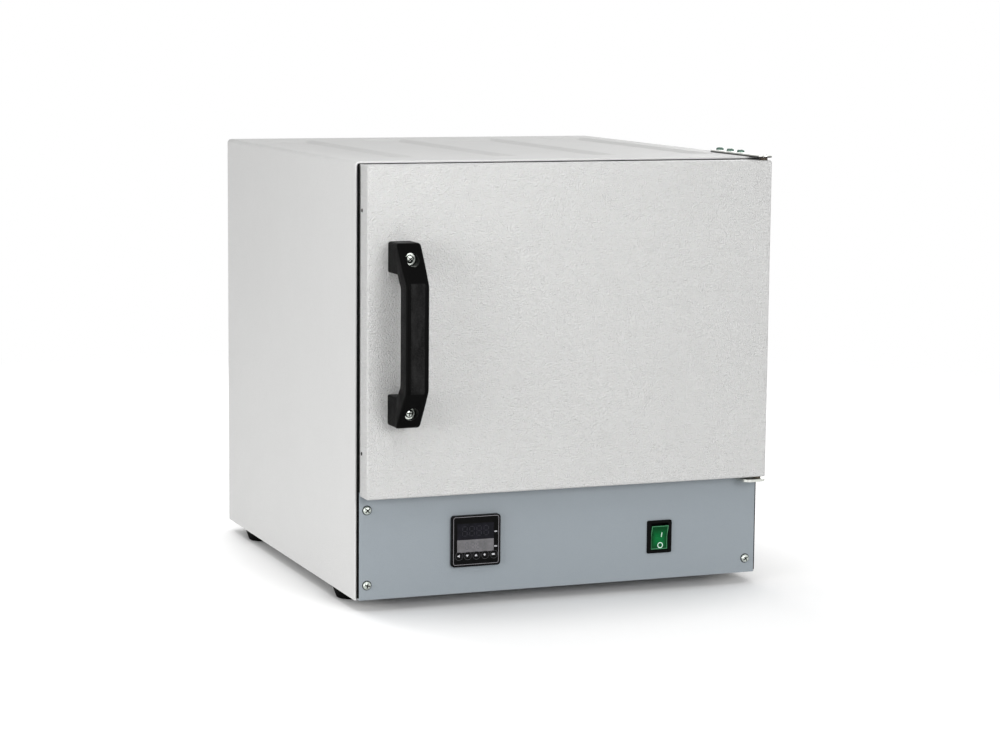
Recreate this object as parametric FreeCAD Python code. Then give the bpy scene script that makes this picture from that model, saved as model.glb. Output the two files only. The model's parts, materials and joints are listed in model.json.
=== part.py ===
import FreeCAD, Part
import os

from FreeCAD import Vector

# Dry heat sterilizer for the bench, in millimetres.
# The origin is on the resting surface, under the middle of the whole object.
# X runs to the right seen from the front, Y runs to the rear, Z is up.

# Case
case_width = 416.0
case_depth = 435.0
case_height = 409.5
shell_setback = 4.5
shell_sheet = 1.0
shell_fold = 4.0
hem_depth = 9.0
hem_round = 0.8
rear_flange = 12.0
bottom_flange = 40.0
cover_sheet = 1.0
cover_inset = 1.5
cover_corner = 4.0
base_sheet = 1.5
base_flange = 20.0
base_clearance = 0.3
cut_overrun = 5.0

# Pressed ribs in the top
rib_count = 4
rib_pitch = 104.0
rib_width = 56.0
rib_slope = 7.0
rib_depth = 2.5
rib_front_margin = 60.0
rib_rear_margin = 38.0

# Front
side_gap = 1.0
top_gap = 0.5
seal_inset = 1.0
panel_sheet = 1.5
panel_rise = 0.5
panel_overlap = 4.0
panel_return = 12.0
panel_fold = 1.2
frame_joint = 0.5
post_leg = 14.0
post_sheet = 1.5
deck_sheet = 1.0
deck_flange = 12.0

# Chamber and what surrounds it
side_build = 58.0
top_build = 41.5
floor_build = 28.5
rear_build = 113.5
chamber_wall = 1.0
chamber_corner = 10.0
chamber_flange = 14.0
rear_insulation = 60.0
soft_gap = 0.3
gasket_width = 8.0
gasket_margin = 4.0

# Heater and its slotted floor
heater_radius = 4.0
heater_legs = 6
heater_pitch = 44.0
heater_rise = 10.0
heater_front_margin = 62.0
heater_rear_margin = 38.0
heater_tail = 12.0
floor_height = 20.0
floor_sheet = 1.0
floor_leg_inset = 13.0
floor_edge_inset = 4.0
floor_front_margin = 16.0
floor_rear_margin = 6.0

# Shelves and racks
rack_sheet = 1.0
rack_front_margin = 24.0
rack_rear_margin = 20.0
rack_rise = 38.0
rack_head = 26.0
rack_top_margin = 20.0
ledge_count = 4
ledge_rise = 52.0
ledge_depth = 10.0
rack_window_count = 3
rack_window_edge = 10.5
rack_window_gap = 22.5
shelf_sheet = 1.2
shelf_clearance = 1.5
shelf_margin = 4.0
shelf_lip = 8.0
slot_width = 6.0
slot_length = 40.0
slot_pitch_x = 52.0
slot_pitch_y = 16.0

# Sensors
sensor_radius = 2.5
sensor_reach = 40.0
sensor_offset = 30.0
sensor_drop = 30.0
fitting_radius = 7.0
fitting_length = 6.0
hole_clearance = 0.2
soft_hole_clearance = 1.0

# Vent through the rear
vent_x = 95.0
vent_drop = 40.0
vent_radius = 11.0
vent_wall = 1.0
vent_inner_stand = 2.0
vent_stand = 4.0
collar_radius = 21.0
collar_sheet = 2.0
pivot_reach = 27.0
pivot_pad = 9.0
pivot_boss = 5.0
flap_gap = 0.2
flap_sheet = 1.5
flap_radius = 14.0
flap_hub = 7.0
flap_knob_radius = 3.5
flap_knob_height = 6.0

# Door
door_rise = 99.0
door_gap = 2.0
door_depth = 19.5
door_sheet = 1.0
door_round = 1.8
liner_sheet = 1.0
liner_flange = 7.0
plug_depth = 10.0
plug_clearance = 7.0
plug_round = 6.0
fill_margin = 10.0
fill_gap = 0.3

# Hinges
pin_radius = 3.0
pin_fit = 0.05
pin_inset = 5.0
pin_forward = 12.0
pin_engagement = 11.0
pin_head_radius = 5.0
pin_head_height = 0.8
hinge_plate_thickness = 2.5
hinge_plate_half = 8.0
hinge_plate_length = 88.0
hinge_screw_first = 37.0
hinge_screw_pitch = 23.0
hinge_screw_count = 3
hinge_screw_length = 4.0
bush_depth = 12.0
bush_left = 9.0
bush_right = 3.0
bush_margin = 1.5
collar_wall = 1.0
bracket_drop = 2.0
bracket_left = 18.0
bracket_right = 6.0
bracket_reach = 23.0
bracket_nose = 7.0
bracket_neck_left = 10.0
bracket_neck_right = 1.5
bracket_leg_height = 36.0
bracket_screw_pitch = 18.0
bracket_screw_drop = 10.0
slot_clearance = 0.3
plate_clearance = 0.3

# Magnet catch
catch_inset = 26.0
catch_width = 14.0
catch_height = 46.0
catch_back = 9.0

# Handle
handle_length = 169.6
handle_width = 23.0
handle_reach = 50.5
handle_inset = 20.0
handle_offset = 0.3
handle_foot = 28.5
handle_nose = 24.0
handle_slope = 36.0
finger_depth = 32.5
finger_step = 26.0
finger_slope = 41.0
handle_knuckle_round = 12.0
handle_grip_round = 10.0
handle_corner_round = 4.0
handle_edge_round = 2.5
handle_inner_round = 1.5
handle_screw_inset = 14.2
handle_recess_depth = 26.0
handle_recess_radius = 6.2
handle_screw_length = 34.0
nut_radius = 4.5
nut_length = 9.0

# Screws
screw_head_radius = 4.0
screw_head_height = 2.4
screw_radius = 2.0
screw_length = 8.0
small_head_radius = 1.7
small_head_height = 0.6
small_screw_radius = 1.2
small_screw_length = 4.0
small_screw_back = 4.5
small_screw_margin = 41.5
recess_width = 1.0
recess_depth_share = 0.6
recess_span_share = 1.2
head_dome_share = 0.65

# Panel screws, measured from the panel's edges
panel_screw_left_inset = 7.5
panel_screw_right_inset = 10.0
panel_screw_low = 14.0
panel_screw_high = 85.2

# Temperature controller
controller_x = -90.0
controller_rise = 51.0
bezel_size = 49.0
bezel_stand = 5.0
bezel_corner = 3.0
bezel_front_round = 0.9
housing_size = 44.6
housing_depth = 62.0
cutout_clearance = 0.2
window_width = 37.2
window_height = 27.7
window_rise = 3.25
window_shift = 1.0
window_sheet = 1.0
window_inset = 0.4
key_count = 5
key_width = 6.0
key_height = 3.4
key_pitch = 8.8
key_drop = 13.9
key_stand = 0.6
key_clearance = 0.3
key_flange = 0.8
key_flange_thickness = 0.8
key_wall = 2.0
key_round = 0.8

# Mains switch
switch_x = 101.6
switch_rise = 42.2
switch_frame_width = 25.8
switch_frame_height = 32.2
switch_frame_stand = 2.0
switch_frame_corner = 1.6
switch_body_width = 21.6
switch_body_height = 29.6
switch_body_depth = 24.0
rocker_width = 17.6
rocker_half = 12.2
rocker_swing = 7.0
rocker_side_clearance = 0.3
rocker_end_clearance = 1.2
rocker_pivot_back = 4.4
rocker_corner_depth = 6.5
rocker_middle_depth = 4.6
rocker_back_depth = 2.5
rocker_back_half = 9.0
rocker_stub_radius = 1.5
rocker_stub_length = 0.9
rocker_stub_clearance = 0.1
rocker_well = 9.0
rocker_edge_round = 0.7

# Feet
foot_height = 11.0
foot_top_radius = 20.0
foot_tip_radius = 16.0
foot_inset = 20.5
foot_front = 71.0
foot_rear = 65.0
foot_bore = 2.7
foot_recess_radius = 5.5
foot_recess_depth = 5.0
foot_tip_round = 1.2
foot_screw_end = 3.0

# Electrical pieces behind the panel
relay_x = 20.0
relay_y = 150.0
relay_width = 58.0
relay_depth = 45.0
relay_height = 24.0
thermostat_x = -110.0
thermostat_y = 250.0
thermostat_size = 36.0
thermostat_height = 30.0
thermostat_stem_radius = 3.0
thermostat_stem = 10.0

# Mains inlet in the rear cover
inlet_x = 118.0
inlet_rise = 52.0
inlet_flange_width = 50.0
inlet_flange_height = 24.0
inlet_flange_sheet = 3.0
inlet_corner = 3.0
inlet_body_width = 28.0
inlet_body_height = 20.4
inlet_body_depth = 22.0
inlet_socket_width = 24.0
inlet_socket_height = 16.4
inlet_socket_depth = 17.0
inlet_pin_width = 2.0
inlet_pin_height = 4.0
inlet_pin_length = 15.0
inlet_pin_spacing = 7.0
inlet_pin_rise = 2.0
inlet_screw_pitch = 40.0

# Air slots in the base and in the rear cover
air_slot_width = 3.0
air_slot_length = 34.0
air_slot_pitch = 9.0
air_slot_count = 9
air_group_x = 95.0
base_slot_y = 200.0
cover_slot_rise = 50.0

# Rear cover screws
cover_screw_side_count = 3
cover_screw_margin = 30.0
cover_screw_top_x = 100.0
cover_screw_low = 12.0

# Places worked out from the sizes
half = case_width / 2
case_bottom = foot_height
case_top = case_bottom + case_height
hem = 2 * shell_sheet
inner_half = half - shell_sheet
front_half = half - hem - side_gap
front_reach = door_gap + door_depth + handle_reach
rear_reach = vent_stand + flap_gap + flap_sheet + flap_knob_height
face_y = (front_reach - rear_reach - case_depth) / 2
rear_y = face_y + case_depth
shell_front = face_y + shell_setback
shell_rear = rear_y - cover_sheet
flange_front = shell_rear - shell_sheet
base_bottom = case_bottom + shell_sheet
base_top = base_bottom + base_sheet
door_bottom = case_bottom + door_rise
door_top = case_top - hem - top_gap
panel_bottom = case_bottom + panel_rise
panel_top = door_bottom + panel_overlap
panel_back = face_y + panel_sheet
frame_bottom = panel_top + frame_joint
post_half = front_half - panel_sheet
post_back = panel_back + post_leg
chamber_half = half - side_build
chamber_floor = frame_bottom + floor_build
chamber_ceiling = case_top - top_build
chamber_back = rear_y - rear_build
chamber_rear = chamber_back + chamber_wall
insulation_rear = chamber_rear + rear_insulation
insulation_top = case_top - shell_sheet - rib_depth
door_back = face_y - door_gap
door_face = door_back - door_depth
pin_x = front_half - pin_inset
pin_y = face_y - pin_forward
bracket_top = door_bottom - bracket_drop
bracket_bottom = bracket_top - hinge_plate_thickness
handle_x = -front_half + handle_inset + handle_width / 2
handle_bottom = (door_bottom + door_top - handle_length) / 2 + handle_offset
controller_z = case_bottom + controller_rise
switch_z = case_bottom + switch_rise
vent_z = chamber_ceiling - vent_drop
sensor_z = chamber_ceiling - sensor_drop
inlet_z = case_bottom + inlet_rise
floor_top = chamber_floor + floor_height
rack_bottom = chamber_floor + rack_rise
rack_top = chamber_ceiling - rack_top_margin
ledge_bottom = chamber_floor + ledge_rise
ledge_pitch = (rack_top - rack_head - ledge_bottom) / (ledge_count - 1)
screw_hole = screw_radius + hole_clearance
parallel_share = 0.999
touch = 0.001


def block(x0, x1, y0, y1, z0, z1):
    return Part.makeBox(x1 - x0, y1 - y0, z1 - z0, Vector(x0, y0, z0))


def rod(radius, start, end):
    return Part.makeCylinder(radius, (end - start).Length, start, end - start)


def along_y(radius, x, y0, y1, z):
    return rod(radius, Vector(x, y0, z), Vector(x, y1, z))


def along_z(radius, x, y, z0, z1):
    return rod(radius, Vector(x, y, z0), Vector(x, y, z1))


def edges_along(shape, axis):
    """Straight edges that run parallel to the axis."""
    found = []
    for edge in shape.Edges:
        if isinstance(edge.Curve, Part.Line):
            if abs(edge.tangentAt(edge.FirstParameter).dot(axis)) > parallel_share:
                found.append(edge)
    return found


def edges_at(shape, axis, value):
    """Edges that lie in the plane where the point's part along the axis has this value."""
    found = []
    for edge in shape.Edges:
        ends = [edge.valueAt(edge.FirstParameter), edge.valueAt(edge.LastParameter)]
        if all(abs(point.dot(axis) - value) < touch for point in ends):
            found.append(edge)
    return found


def rounded_block(x0, x1, y0, y1, z0, z1, radius, axis):
    """A block whose four edges along the axis are rounded."""
    solid = block(x0, x1, y0, y1, z0, z1)
    return solid.makeFillet(radius, edges_along(solid, axis))


def joined(shapes):
    whole = shapes[0]
    for shape in shapes[1:]:
        whole = whole.fuse(shape)
    return whole.removeSplitter()


def cut_all(solid, cutters):
    return solid.cut(Part.makeCompound(cutters))


def placed(shape, origin, direction):
    """A shape built along +Z, moved to the origin given and turned to the direction."""
    moved = shape.copy()
    moved.Placement = FreeCAD.Placement(origin, FreeCAD.Rotation(AXIS_Z, direction))
    return moved


def frustum(x0, x1, y0, y1, z_wide, z_narrow, slope):
    """A flat tapered block, wide at one height and drawn in by the slope at the other."""
    wires = []
    for inset, z in ((0, z_wide), (slope, z_narrow)):
        left, right, front, back = x0 + inset, x1 - inset, y0 + inset, y1 - inset
        corners = [
            Vector(left, front, z),
            Vector(right, front, z),
            Vector(right, back, z),
            Vector(left, back, z),
        ]
        wires.append(Part.makePolygon(corners + corners[:1]))
    return Part.makeLoft(wires, True, True)


def domed_head(radius, height):
    head = Part.makeCylinder(radius, height)
    return head.makeFillet(height * head_dome_share, edges_at(head, AXIS_Z, height))


def cross_screw(seat, direction, shank_radius, length):
    """A pan head screw with a cross recess; the seat is the underside of its head."""
    floor, top = screw_head_height * (1 - recess_depth_share), screw_head_height + cut_overrun
    span = screw_head_radius * recess_span_share / 2
    width = recess_width / 2
    bars = [block(-span, span, -width, width, floor, top), block(-width, width, -span, span, floor, top)]
    head = cut_all(domed_head(screw_head_radius, screw_head_height), bars)
    shank = rod(shank_radius, Vector(0, 0, -length), Vector(0, 0, 0))
    return placed(joined([head, shank]), seat, direction)


def plate_screw(seat, direction, length):
    """A cross-recess screw of the size that holds the sheet metal pieces."""
    return cross_screw(seat, direction, screw_radius, length)


def side_screw(seat, direction):
    """A small domed screw without a recess, for the sides of the door."""
    head = domed_head(small_head_radius, small_head_height)
    shank = rod(small_screw_radius, Vector(0, 0, -small_screw_length), Vector(0, 0, 0))
    return placed(joined([head, shank]), seat, direction)


def save(node, shape):
    shape.exportStep(os.path.join("parts", node + ".step"))


AXIS_X = Vector(1, 0, 0)
AXIS_Y = Vector(0, 1, 0)
AXIS_Z = Vector(0, 0, 1)
FOOT_NAMES = ("foot_front_left", "foot_front_right", "foot_rear_left", "foot_rear_right")


# Case

def wrapped(inset, y0, y1, low):
    """A solid with the case's own section, drawn in by the inset, open to the floor below."""
    solid = block(-half + inset, half - inset, y0, y1, low, case_top - inset)
    upper = [edge for edge in edges_along(solid, AXIS_Y) if edge.Vertexes[0].Z > low + touch]
    return solid.makeFillet(shell_fold - inset, upper)


def rib_centres():
    start = -rib_pitch * (rib_count - 1) / 2
    return [start + rib_pitch * index for index in range(rib_count)]


def outer_shell():
    low = case_bottom - cut_overrun
    skin = wrapped(0, shell_front, shell_rear, case_bottom)
    skin = skin.cut(wrapped(shell_sheet, shell_front - cut_overrun, shell_rear + cut_overrun, low))
    lip = wrapped(shell_sheet, shell_front, shell_front + hem_depth, case_bottom)
    lip = lip.cut(wrapped(hem, shell_front - cut_overrun, rear_y, low))
    skin = joined([skin, lip])
    mouth = [edge for edge in edges_at(skin, AXIS_Y, shell_front) if edge.Length > hem + touch]
    skin = skin.makeFillet(hem_round, mouth)
    rear = wrapped(shell_sheet, flange_front, shell_rear, case_bottom)
    flange_inner = inner_half - rear_flange
    rear = rear.cut(block(-flange_inner, flange_inner, flange_front - cut_overrun, rear_y,
                          low, case_top - shell_sheet - rear_flange))
    pieces = [skin, rear]
    flange_start = shell_front + hem_round
    for x0 in (-inner_half, inner_half - bottom_flange):
        pieces.append(block(x0, x0 + bottom_flange, flange_start, shell_rear, case_bottom, base_bottom))
    cutters = []
    for centre in rib_centres():
        x0, x1 = centre - rib_width / 2, centre + rib_width / 2
        y0, y1 = face_y + rib_front_margin, rear_y - rib_rear_margin
        under = case_top - shell_sheet
        pieces.append(frustum(x0, x1, y0, y1, under + touch, under - rib_depth, rib_slope))
        cutters.append(frustum(x0 + shell_sheet, x1 - shell_sheet, y0 + shell_sheet, y1 - shell_sheet,
                               case_top, case_top - rib_depth, rib_slope))
    for position in hinge_screw_places():
        cutters.append(along_z(screw_hole, position.x, position.y,
                               case_top - cut_overrun, case_top + cut_overrun))
    for x, y in foot_places():
        cutters.append(along_z(foot_bore, x, y, low, case_bottom + cut_overrun))
    for x, z in cover_screw_places():
        cutters.append(along_y(screw_hole, x, flange_front - cut_overrun, rear_y, z))
    return cut_all(joined(pieces), cutters)


def edge_seal():
    """The black strip that fills the gap between the hem and the front, set back a little."""
    strip = wrapped(hem, face_y + seal_inset, shell_front + hem_depth, base_top)
    inner = block(-front_half, front_half, face_y - cut_overrun, rear_y, case_bottom, door_top)
    return strip.cut(inner)


def slot_row(centre_x, y0, y1, z0, z1):
    """A row of upright or lengthwise air slots, side by side along X."""
    start = centre_x - air_slot_pitch * (air_slot_count - 1) / 2
    width = air_slot_width / 2
    slots = []
    for index in range(air_slot_count):
        x = start + air_slot_pitch * index
        slots.append(block(x - width, x + width, y0, y1, z0, z1))
    return slots


def base_plate():
    floor_half = half - hem - base_clearance
    flange_half = post_half - post_leg - base_clearance
    rear_half = inner_half - rear_flange - base_clearance
    flange_top = base_top + base_flange
    pieces = [
        block(-floor_half, floor_half, panel_back, flange_front - base_clearance, base_bottom, base_top),
        block(-flange_half, flange_half, panel_back, panel_back + base_sheet, base_bottom, flange_top),
        block(-rear_half, rear_half, flange_front - cut_overrun, shell_rear, base_bottom, base_top),
        block(-rear_half, rear_half, shell_rear - base_sheet, shell_rear, base_bottom, flange_top),
    ]
    cutters = []
    slot_y = face_y + base_slot_y
    for side in (-1, 1):
        cutters += slot_row(side * air_group_x, slot_y, slot_y + air_slot_length,
                            base_bottom - cut_overrun, base_top + cut_overrun)
    for x, y in foot_places():
        cutters.append(along_z(foot_bore, x, y, case_bottom, base_top + cut_overrun))
    for x, z in cover_screw_places():
        cutters.append(along_y(screw_hole, x, shell_rear - cut_overrun, rear_y, z))
    return cut_all(joined(pieces), cutters)


def cover_screw_places():
    side_x = inner_half - rear_flange / 2
    low = case_bottom + cover_screw_low
    high = case_top - shell_sheet - rear_flange / 2
    low_side = case_bottom + cover_screw_margin
    step = (high - cover_screw_margin - low_side) / (cover_screw_side_count - 1)
    places = []
    for side in (-1, 1):
        for index in range(cover_screw_side_count):
            places.append((side * side_x, low_side + step * index))
        places.append((side * cover_screw_top_x, high))
        places.append((side * cover_screw_top_x, low))
    return places


def rear_cover():
    plate = rounded_block(-half + cover_inset, half - cover_inset, shell_rear, rear_y,
                          base_bottom, case_top - cover_inset, cover_corner, AXIS_Y)
    y0, y1 = shell_rear - cut_overrun, rear_y + cut_overrun
    cutters = [along_y(vent_radius + hole_clearance, vent_x, y0, y1, vent_z)]
    wide = inlet_body_width / 2 + cutout_clearance
    high = inlet_body_height / 2 + cutout_clearance
    cutters.append(block(inlet_x - wide, inlet_x + wide, y0, y1, inlet_z - high, inlet_z + high))
    slot_z = case_bottom + cover_slot_rise
    for centre in (-air_group_x, 0):
        cutters += slot_row(centre, y0, y1, slot_z - air_slot_length / 2, slot_z + air_slot_length / 2)
    cutters.append(along_y(screw_hole, vent_pivot_x(), y0, y1, vent_z))
    for x, z in cover_screw_places() + inlet_screw_places():
        cutters.append(along_y(screw_hole, x, y0, y1, z))
    return cut_all(plate, cutters)


def rear_screws():
    """The screws of the rear cover, and the two that hold the mains inlet on it."""
    places = [Vector(x, rear_y, z) for x, z in cover_screw_places()]
    places += [Vector(x, rear_y + inlet_flange_sheet, z) for x, z in inlet_screw_places()]
    return Part.makeCompound([plate_screw(place, AXIS_Y, screw_length) for place in places])


# Front

def panel_screw_places():
    left, right = -front_half + panel_screw_left_inset, front_half - panel_screw_right_inset
    low, high = panel_bottom + panel_screw_low, panel_bottom + panel_screw_high
    return [(left, low), (left, high), (right, low)]


def bracket_slot(y0, y1, top):
    """The way through the sheet for the lower hinge bracket."""
    return block(pin_x - bracket_neck_left - slot_clearance, pin_x + bracket_neck_right + slot_clearance,
                 y0, y1, bracket_bottom - slot_clearance, top)


def control_panel():
    plate = block(-front_half, front_half, face_y, panel_back, panel_bottom, panel_top)
    pieces = [plate]
    for x0 in (-front_half, front_half - panel_sheet):
        pieces.append(block(x0, x0 + panel_sheet, face_y, face_y + panel_return,
                            base_top + base_clearance, panel_top))
    panel = joined(pieces)
    sides = [edge for edge in edges_along(panel, AXIS_Z) if abs(edge.Vertexes[0].Y - face_y) < touch]
    panel = panel.makeFillet(panel_fold, sides)
    y0, y1 = face_y - cut_overrun, panel_back + cut_overrun
    hole = housing_size / 2 + cutout_clearance
    wide = switch_body_width / 2 + cutout_clearance
    high = switch_body_height / 2 + cutout_clearance
    cutters = [
        block(controller_x - hole, controller_x + hole, y0, y1, controller_z - hole, controller_z + hole),
        block(switch_x - wide, switch_x + wide, y0, y1, switch_z - high, switch_z + high),
        bracket_slot(y0, y1, panel_top + cut_overrun),
    ]
    for x, z in panel_screw_places():
        cutters.append(along_y(screw_hole, x, y0, y1, z))
    return cut_all(panel, cutters)


def panel_screws():
    return Part.makeCompound([
        plate_screw(Vector(x, face_y, z), -AXIS_Y, screw_length)
        for x, z in panel_screw_places()])


def front_post(side):
    """An upright angle behind the front; side is -1 at the left and 1 at the right."""
    z0, z1 = base_top, door_top - panel_sheet
    inner, outer = sorted((side * (post_half - post_leg), side * post_half))
    leg_inner, leg_outer = sorted((side * (post_half - post_sheet), side * post_half))
    post = joined([
        block(inner, outer, panel_back, panel_back + post_sheet, z0, z1),
        block(leg_inner, leg_outer, panel_back, post_back, z0, z1),
    ])
    cutters = []
    for x, z in panel_screw_places():
        cutters.append(along_y(screw_hole, x, face_y, post_back, z))
    if side > 0:
        cutters.append(bracket_slot(face_y, panel_back + cut_overrun, bracket_top + slot_clearance))
        for x, z in bracket_screw_places():
            cutters.append(along_y(screw_hole, x, face_y, post_back, z))
    return cut_all(post, cutters)


def chamber_section(grow, y0, y1):
    """The chamber's inside, grown by a wall, between two depths."""
    return rounded_block(-chamber_half - grow, chamber_half + grow, y0, y1,
                         chamber_floor - grow, chamber_ceiling + grow, chamber_corner + grow, AXIS_Y)


def front_frame():
    pieces = [block(-front_half, front_half, face_y, panel_back, frame_bottom, door_top)]
    for x0 in (-front_half, front_half - panel_sheet):
        pieces.append(block(x0, x0 + panel_sheet, face_y, face_y + panel_return, frame_bottom, door_top))
    pieces.append(block(-front_half, front_half, face_y, face_y + panel_return,
                        door_top - panel_sheet, door_top))
    cutters = [chamber_section(0, face_y - cut_overrun, panel_back + cut_overrun)]
    catch_x, catch_z = catch_place()
    wide, high = catch_width / 2, catch_height / 2
    cutters.append(block(catch_x - wide, catch_x + wide, face_y - cut_overrun, panel_back + cut_overrun,
                         catch_z - high, catch_z + high))
    return cut_all(joined(pieces), cutters)


def compartment_deck():
    """The ceiling of the electrical compartment, with its side flanges turned down."""
    z0, z1 = frame_bottom - deck_sheet, frame_bottom
    deck_half = post_half - post_sheet
    flange_y = post_back + base_clearance
    pieces = [
        block(-deck_half, deck_half, panel_back + post_sheet, flange_front, z0, z1),
        block(-inner_half, inner_half, flange_y, flange_front, z0, z1),
    ]
    for x0 in (-inner_half, inner_half - deck_sheet):
        pieces.append(block(x0, x0 + deck_sheet, flange_y, flange_front, z0 - deck_flange, z1))
    return joined(pieces)


# Chamber

def heater_places():
    start = -heater_pitch * (heater_legs - 1) / 2
    return [start + heater_pitch * index for index in range(heater_legs)]


def chamber():
    body = chamber_section(chamber_wall, panel_back, chamber_rear)
    flange = rounded_block(-chamber_half - chamber_flange, chamber_half + chamber_flange,
                           panel_back, panel_back + chamber_wall,
                           chamber_floor - chamber_flange, chamber_ceiling + chamber_flange,
                           chamber_corner, AXIS_Y)
    body = joined([body, flange])
    body = body.cut(chamber_section(0, panel_back - cut_overrun, chamber_back))
    y0, y1 = chamber_back - cut_overrun, chamber_rear + cut_overrun
    cutters = [along_y(vent_radius + hole_clearance, vent_x, y0, y1, vent_z)]
    for x in (-sensor_offset, sensor_offset):
        cutters.append(along_y(sensor_radius + hole_clearance, x, y0, y1, sensor_z))
    for x in (heater_places()[0], heater_places()[-1]):
        cutters.append(along_y(heater_radius + hole_clearance, x, y0, y1, chamber_floor + heater_rise))
    return cut_all(body, cutters)


def chamber_gasket():
    thickness = door_gap - soft_gap
    inner = gasket_margin
    outer = gasket_margin + gasket_width
    ring = rounded_block(-chamber_half - outer, chamber_half + outer, face_y - thickness, face_y,
                         chamber_floor - outer, chamber_ceiling + outer, chamber_corner + outer, AXIS_Y)
    hole = chamber_section(inner, face_y - door_gap - cut_overrun, face_y + cut_overrun)
    return ring.cut(hole)


def chamber_insulation():
    """Five slabs: under, over, left, right and behind the chamber."""
    outer = chamber_half + chamber_wall
    floor, ceiling = chamber_floor - chamber_wall, chamber_ceiling + chamber_wall
    y0 = post_back + base_clearance
    slabs = [
        block(-inner_half, inner_half, y0, chamber_rear, frame_bottom, floor),
        block(-inner_half, inner_half, y0, chamber_rear, ceiling, insulation_top),
        block(-inner_half, -outer, y0, chamber_rear, floor, ceiling),
        block(outer, inner_half, y0, chamber_rear, floor, ceiling),
    ]
    rear = block(-inner_half, inner_half, chamber_rear, insulation_rear, frame_bottom, insulation_top)
    y1, y2 = chamber_rear - cut_overrun, insulation_rear + cut_overrun
    holes = [along_y(vent_radius + soft_gap, vent_x, y1, y2, vent_z)]
    for x in (-sensor_offset, sensor_offset):
        holes.append(along_y(fitting_radius + soft_hole_clearance, x, y1, y2, sensor_z))
    for x in (heater_places()[0], heater_places()[-1]):
        holes.append(along_y(heater_radius + soft_gap, x, y1, y2, chamber_floor + heater_rise))
    slabs.append(cut_all(rear, holes))
    space = wrapped(shell_sheet + soft_gap, y0, insulation_rear, frame_bottom)
    return Part.makeCompound([slab.common(space) for slab in slabs])


def heating_element():
    """A rod bent back and forth over the chamber floor, with both ends out at the rear."""
    z = chamber_floor + heater_rise
    front = face_y + heater_front_margin
    rear = chamber_back - heater_rear_margin
    tail = insulation_rear + heater_tail
    bend = heater_pitch / 2
    places = heater_places()
    edges = []
    for index, x in enumerate(places):
        back = tail if index in (0, len(places) - 1) else rear
        ends = [Vector(x, back, z), Vector(x, front, z)]
        if index % 2:
            ends.reverse()
        edges.append(Part.makeLine(ends[0], ends[1]))
        if index < len(places) - 1:
            turn = -bend if index % 2 == 0 else bend
            middle = Vector(x + bend, ends[1].y + turn, z)
            far = Vector(x + heater_pitch, ends[1].y, z)
            edges.append(Part.Arc(ends[1], middle, far).toShape())
    spine = Part.Wire(edges)
    section = Part.Wire(Part.makeCircle(heater_radius, Vector(places[0], tail, z), AXIS_Y))
    return spine.makePipeShell([section], True, True)


def slot_grid(width, depth, y_middle, z0, z1):
    """Slots that fill a plate, centred on X = 0 and on the middle depth."""
    columns = int(width / slot_pitch_x)
    rows = int(depth / slot_pitch_y)
    cutters = []
    for column in range(columns):
        x = (column - (columns - 1) / 2) * slot_pitch_x
        for row in range(rows):
            y = y_middle + (row - (rows - 1) / 2) * slot_pitch_y
            cutters.append(block(x - slot_length / 2, x + slot_length / 2,
                                 y - slot_width / 2, y + slot_width / 2, z0, z1))
    return cutters


def heater_floor():
    x1 = chamber_half - floor_edge_inset
    leg = chamber_half - floor_leg_inset
    y0, y1 = face_y + floor_front_margin, chamber_back - floor_rear_margin
    pieces = [block(-x1, x1, y0, y1, floor_top, floor_top + floor_sheet)]
    for side in (-leg, leg - floor_sheet):
        pieces.append(block(side, side + floor_sheet, y0, y1, chamber_floor, floor_top))
    depth = y1 - y0 - slot_pitch_y
    cutters = slot_grid(2 * leg - slot_pitch_y, depth, (y0 + y1) / 2,
                        floor_top - cut_overrun / 2, floor_top + cut_overrun)
    return cut_all(joined(pieces), cutters)


def ledge_height(index):
    return ledge_bottom + ledge_pitch * index


def shelf_rack(side):
    """A pierced side sheet with ledges; side is -1 at the left and 1 at the right."""
    y0, y1 = face_y + rack_front_margin, chamber_back - rack_rear_margin
    x0, x1 = sorted((side * (chamber_half - rack_sheet), side * chamber_half))
    pieces = [block(x0, x1, y0, y1, rack_bottom, rack_top)]
    ledge_x0, ledge_x1 = sorted((side * (chamber_half - rack_sheet - ledge_depth), side * chamber_half))
    cutters = []
    bay = (y1 - y0) / rack_window_count
    window_half = (bay - rack_window_gap) / 2
    for index in range(ledge_count):
        z = ledge_height(index)
        pieces.append(block(ledge_x0, ledge_x1, y0, y1, z - rack_sheet, z))
        if index < ledge_count - 1:
            z0 = z + rack_window_edge
            z1 = ledge_height(index + 1) - rack_sheet - rack_window_edge
            for window in range(rack_window_count):
                y = y0 + bay * (window + 1 / 2)
                cutters.append(block(x0 - rack_sheet / 2, x1 + rack_sheet / 2,
                                     y - window_half, y + window_half, z0, z1))
    return cut_all(joined(pieces), cutters)


def shelf(index):
    """A slotted shelf that lies on the pair of ledges with this index."""
    x1 = chamber_half - rack_sheet - shelf_clearance
    y0 = face_y + rack_front_margin + shelf_margin
    y1 = chamber_back - rack_rear_margin - shelf_margin
    z = ledge_height(index)
    pieces = [block(-x1, x1, y0, y1, z, z + shelf_sheet)]
    for y in (y0, y1 - shelf_sheet):
        pieces.append(block(-x1, x1, y, y + shelf_sheet, z, z + shelf_lip))
    depth = y1 - y0 - slot_pitch_y
    width = 2 * (x1 - ledge_depth)
    cutters = slot_grid(width, depth, (y0 + y1) / 2, z - cut_overrun, z + cut_overrun)
    return cut_all(joined(pieces), cutters)


def sensor(side):
    """A straight probe with its fitting behind the chamber's rear wall."""
    x = side * sensor_offset
    return joined([
        along_y(sensor_radius, x, chamber_back - sensor_reach, insulation_rear + heater_tail, sensor_z),
        along_y(fitting_radius, x, chamber_rear, chamber_rear + fitting_length, sensor_z),
    ])


# Vent

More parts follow.
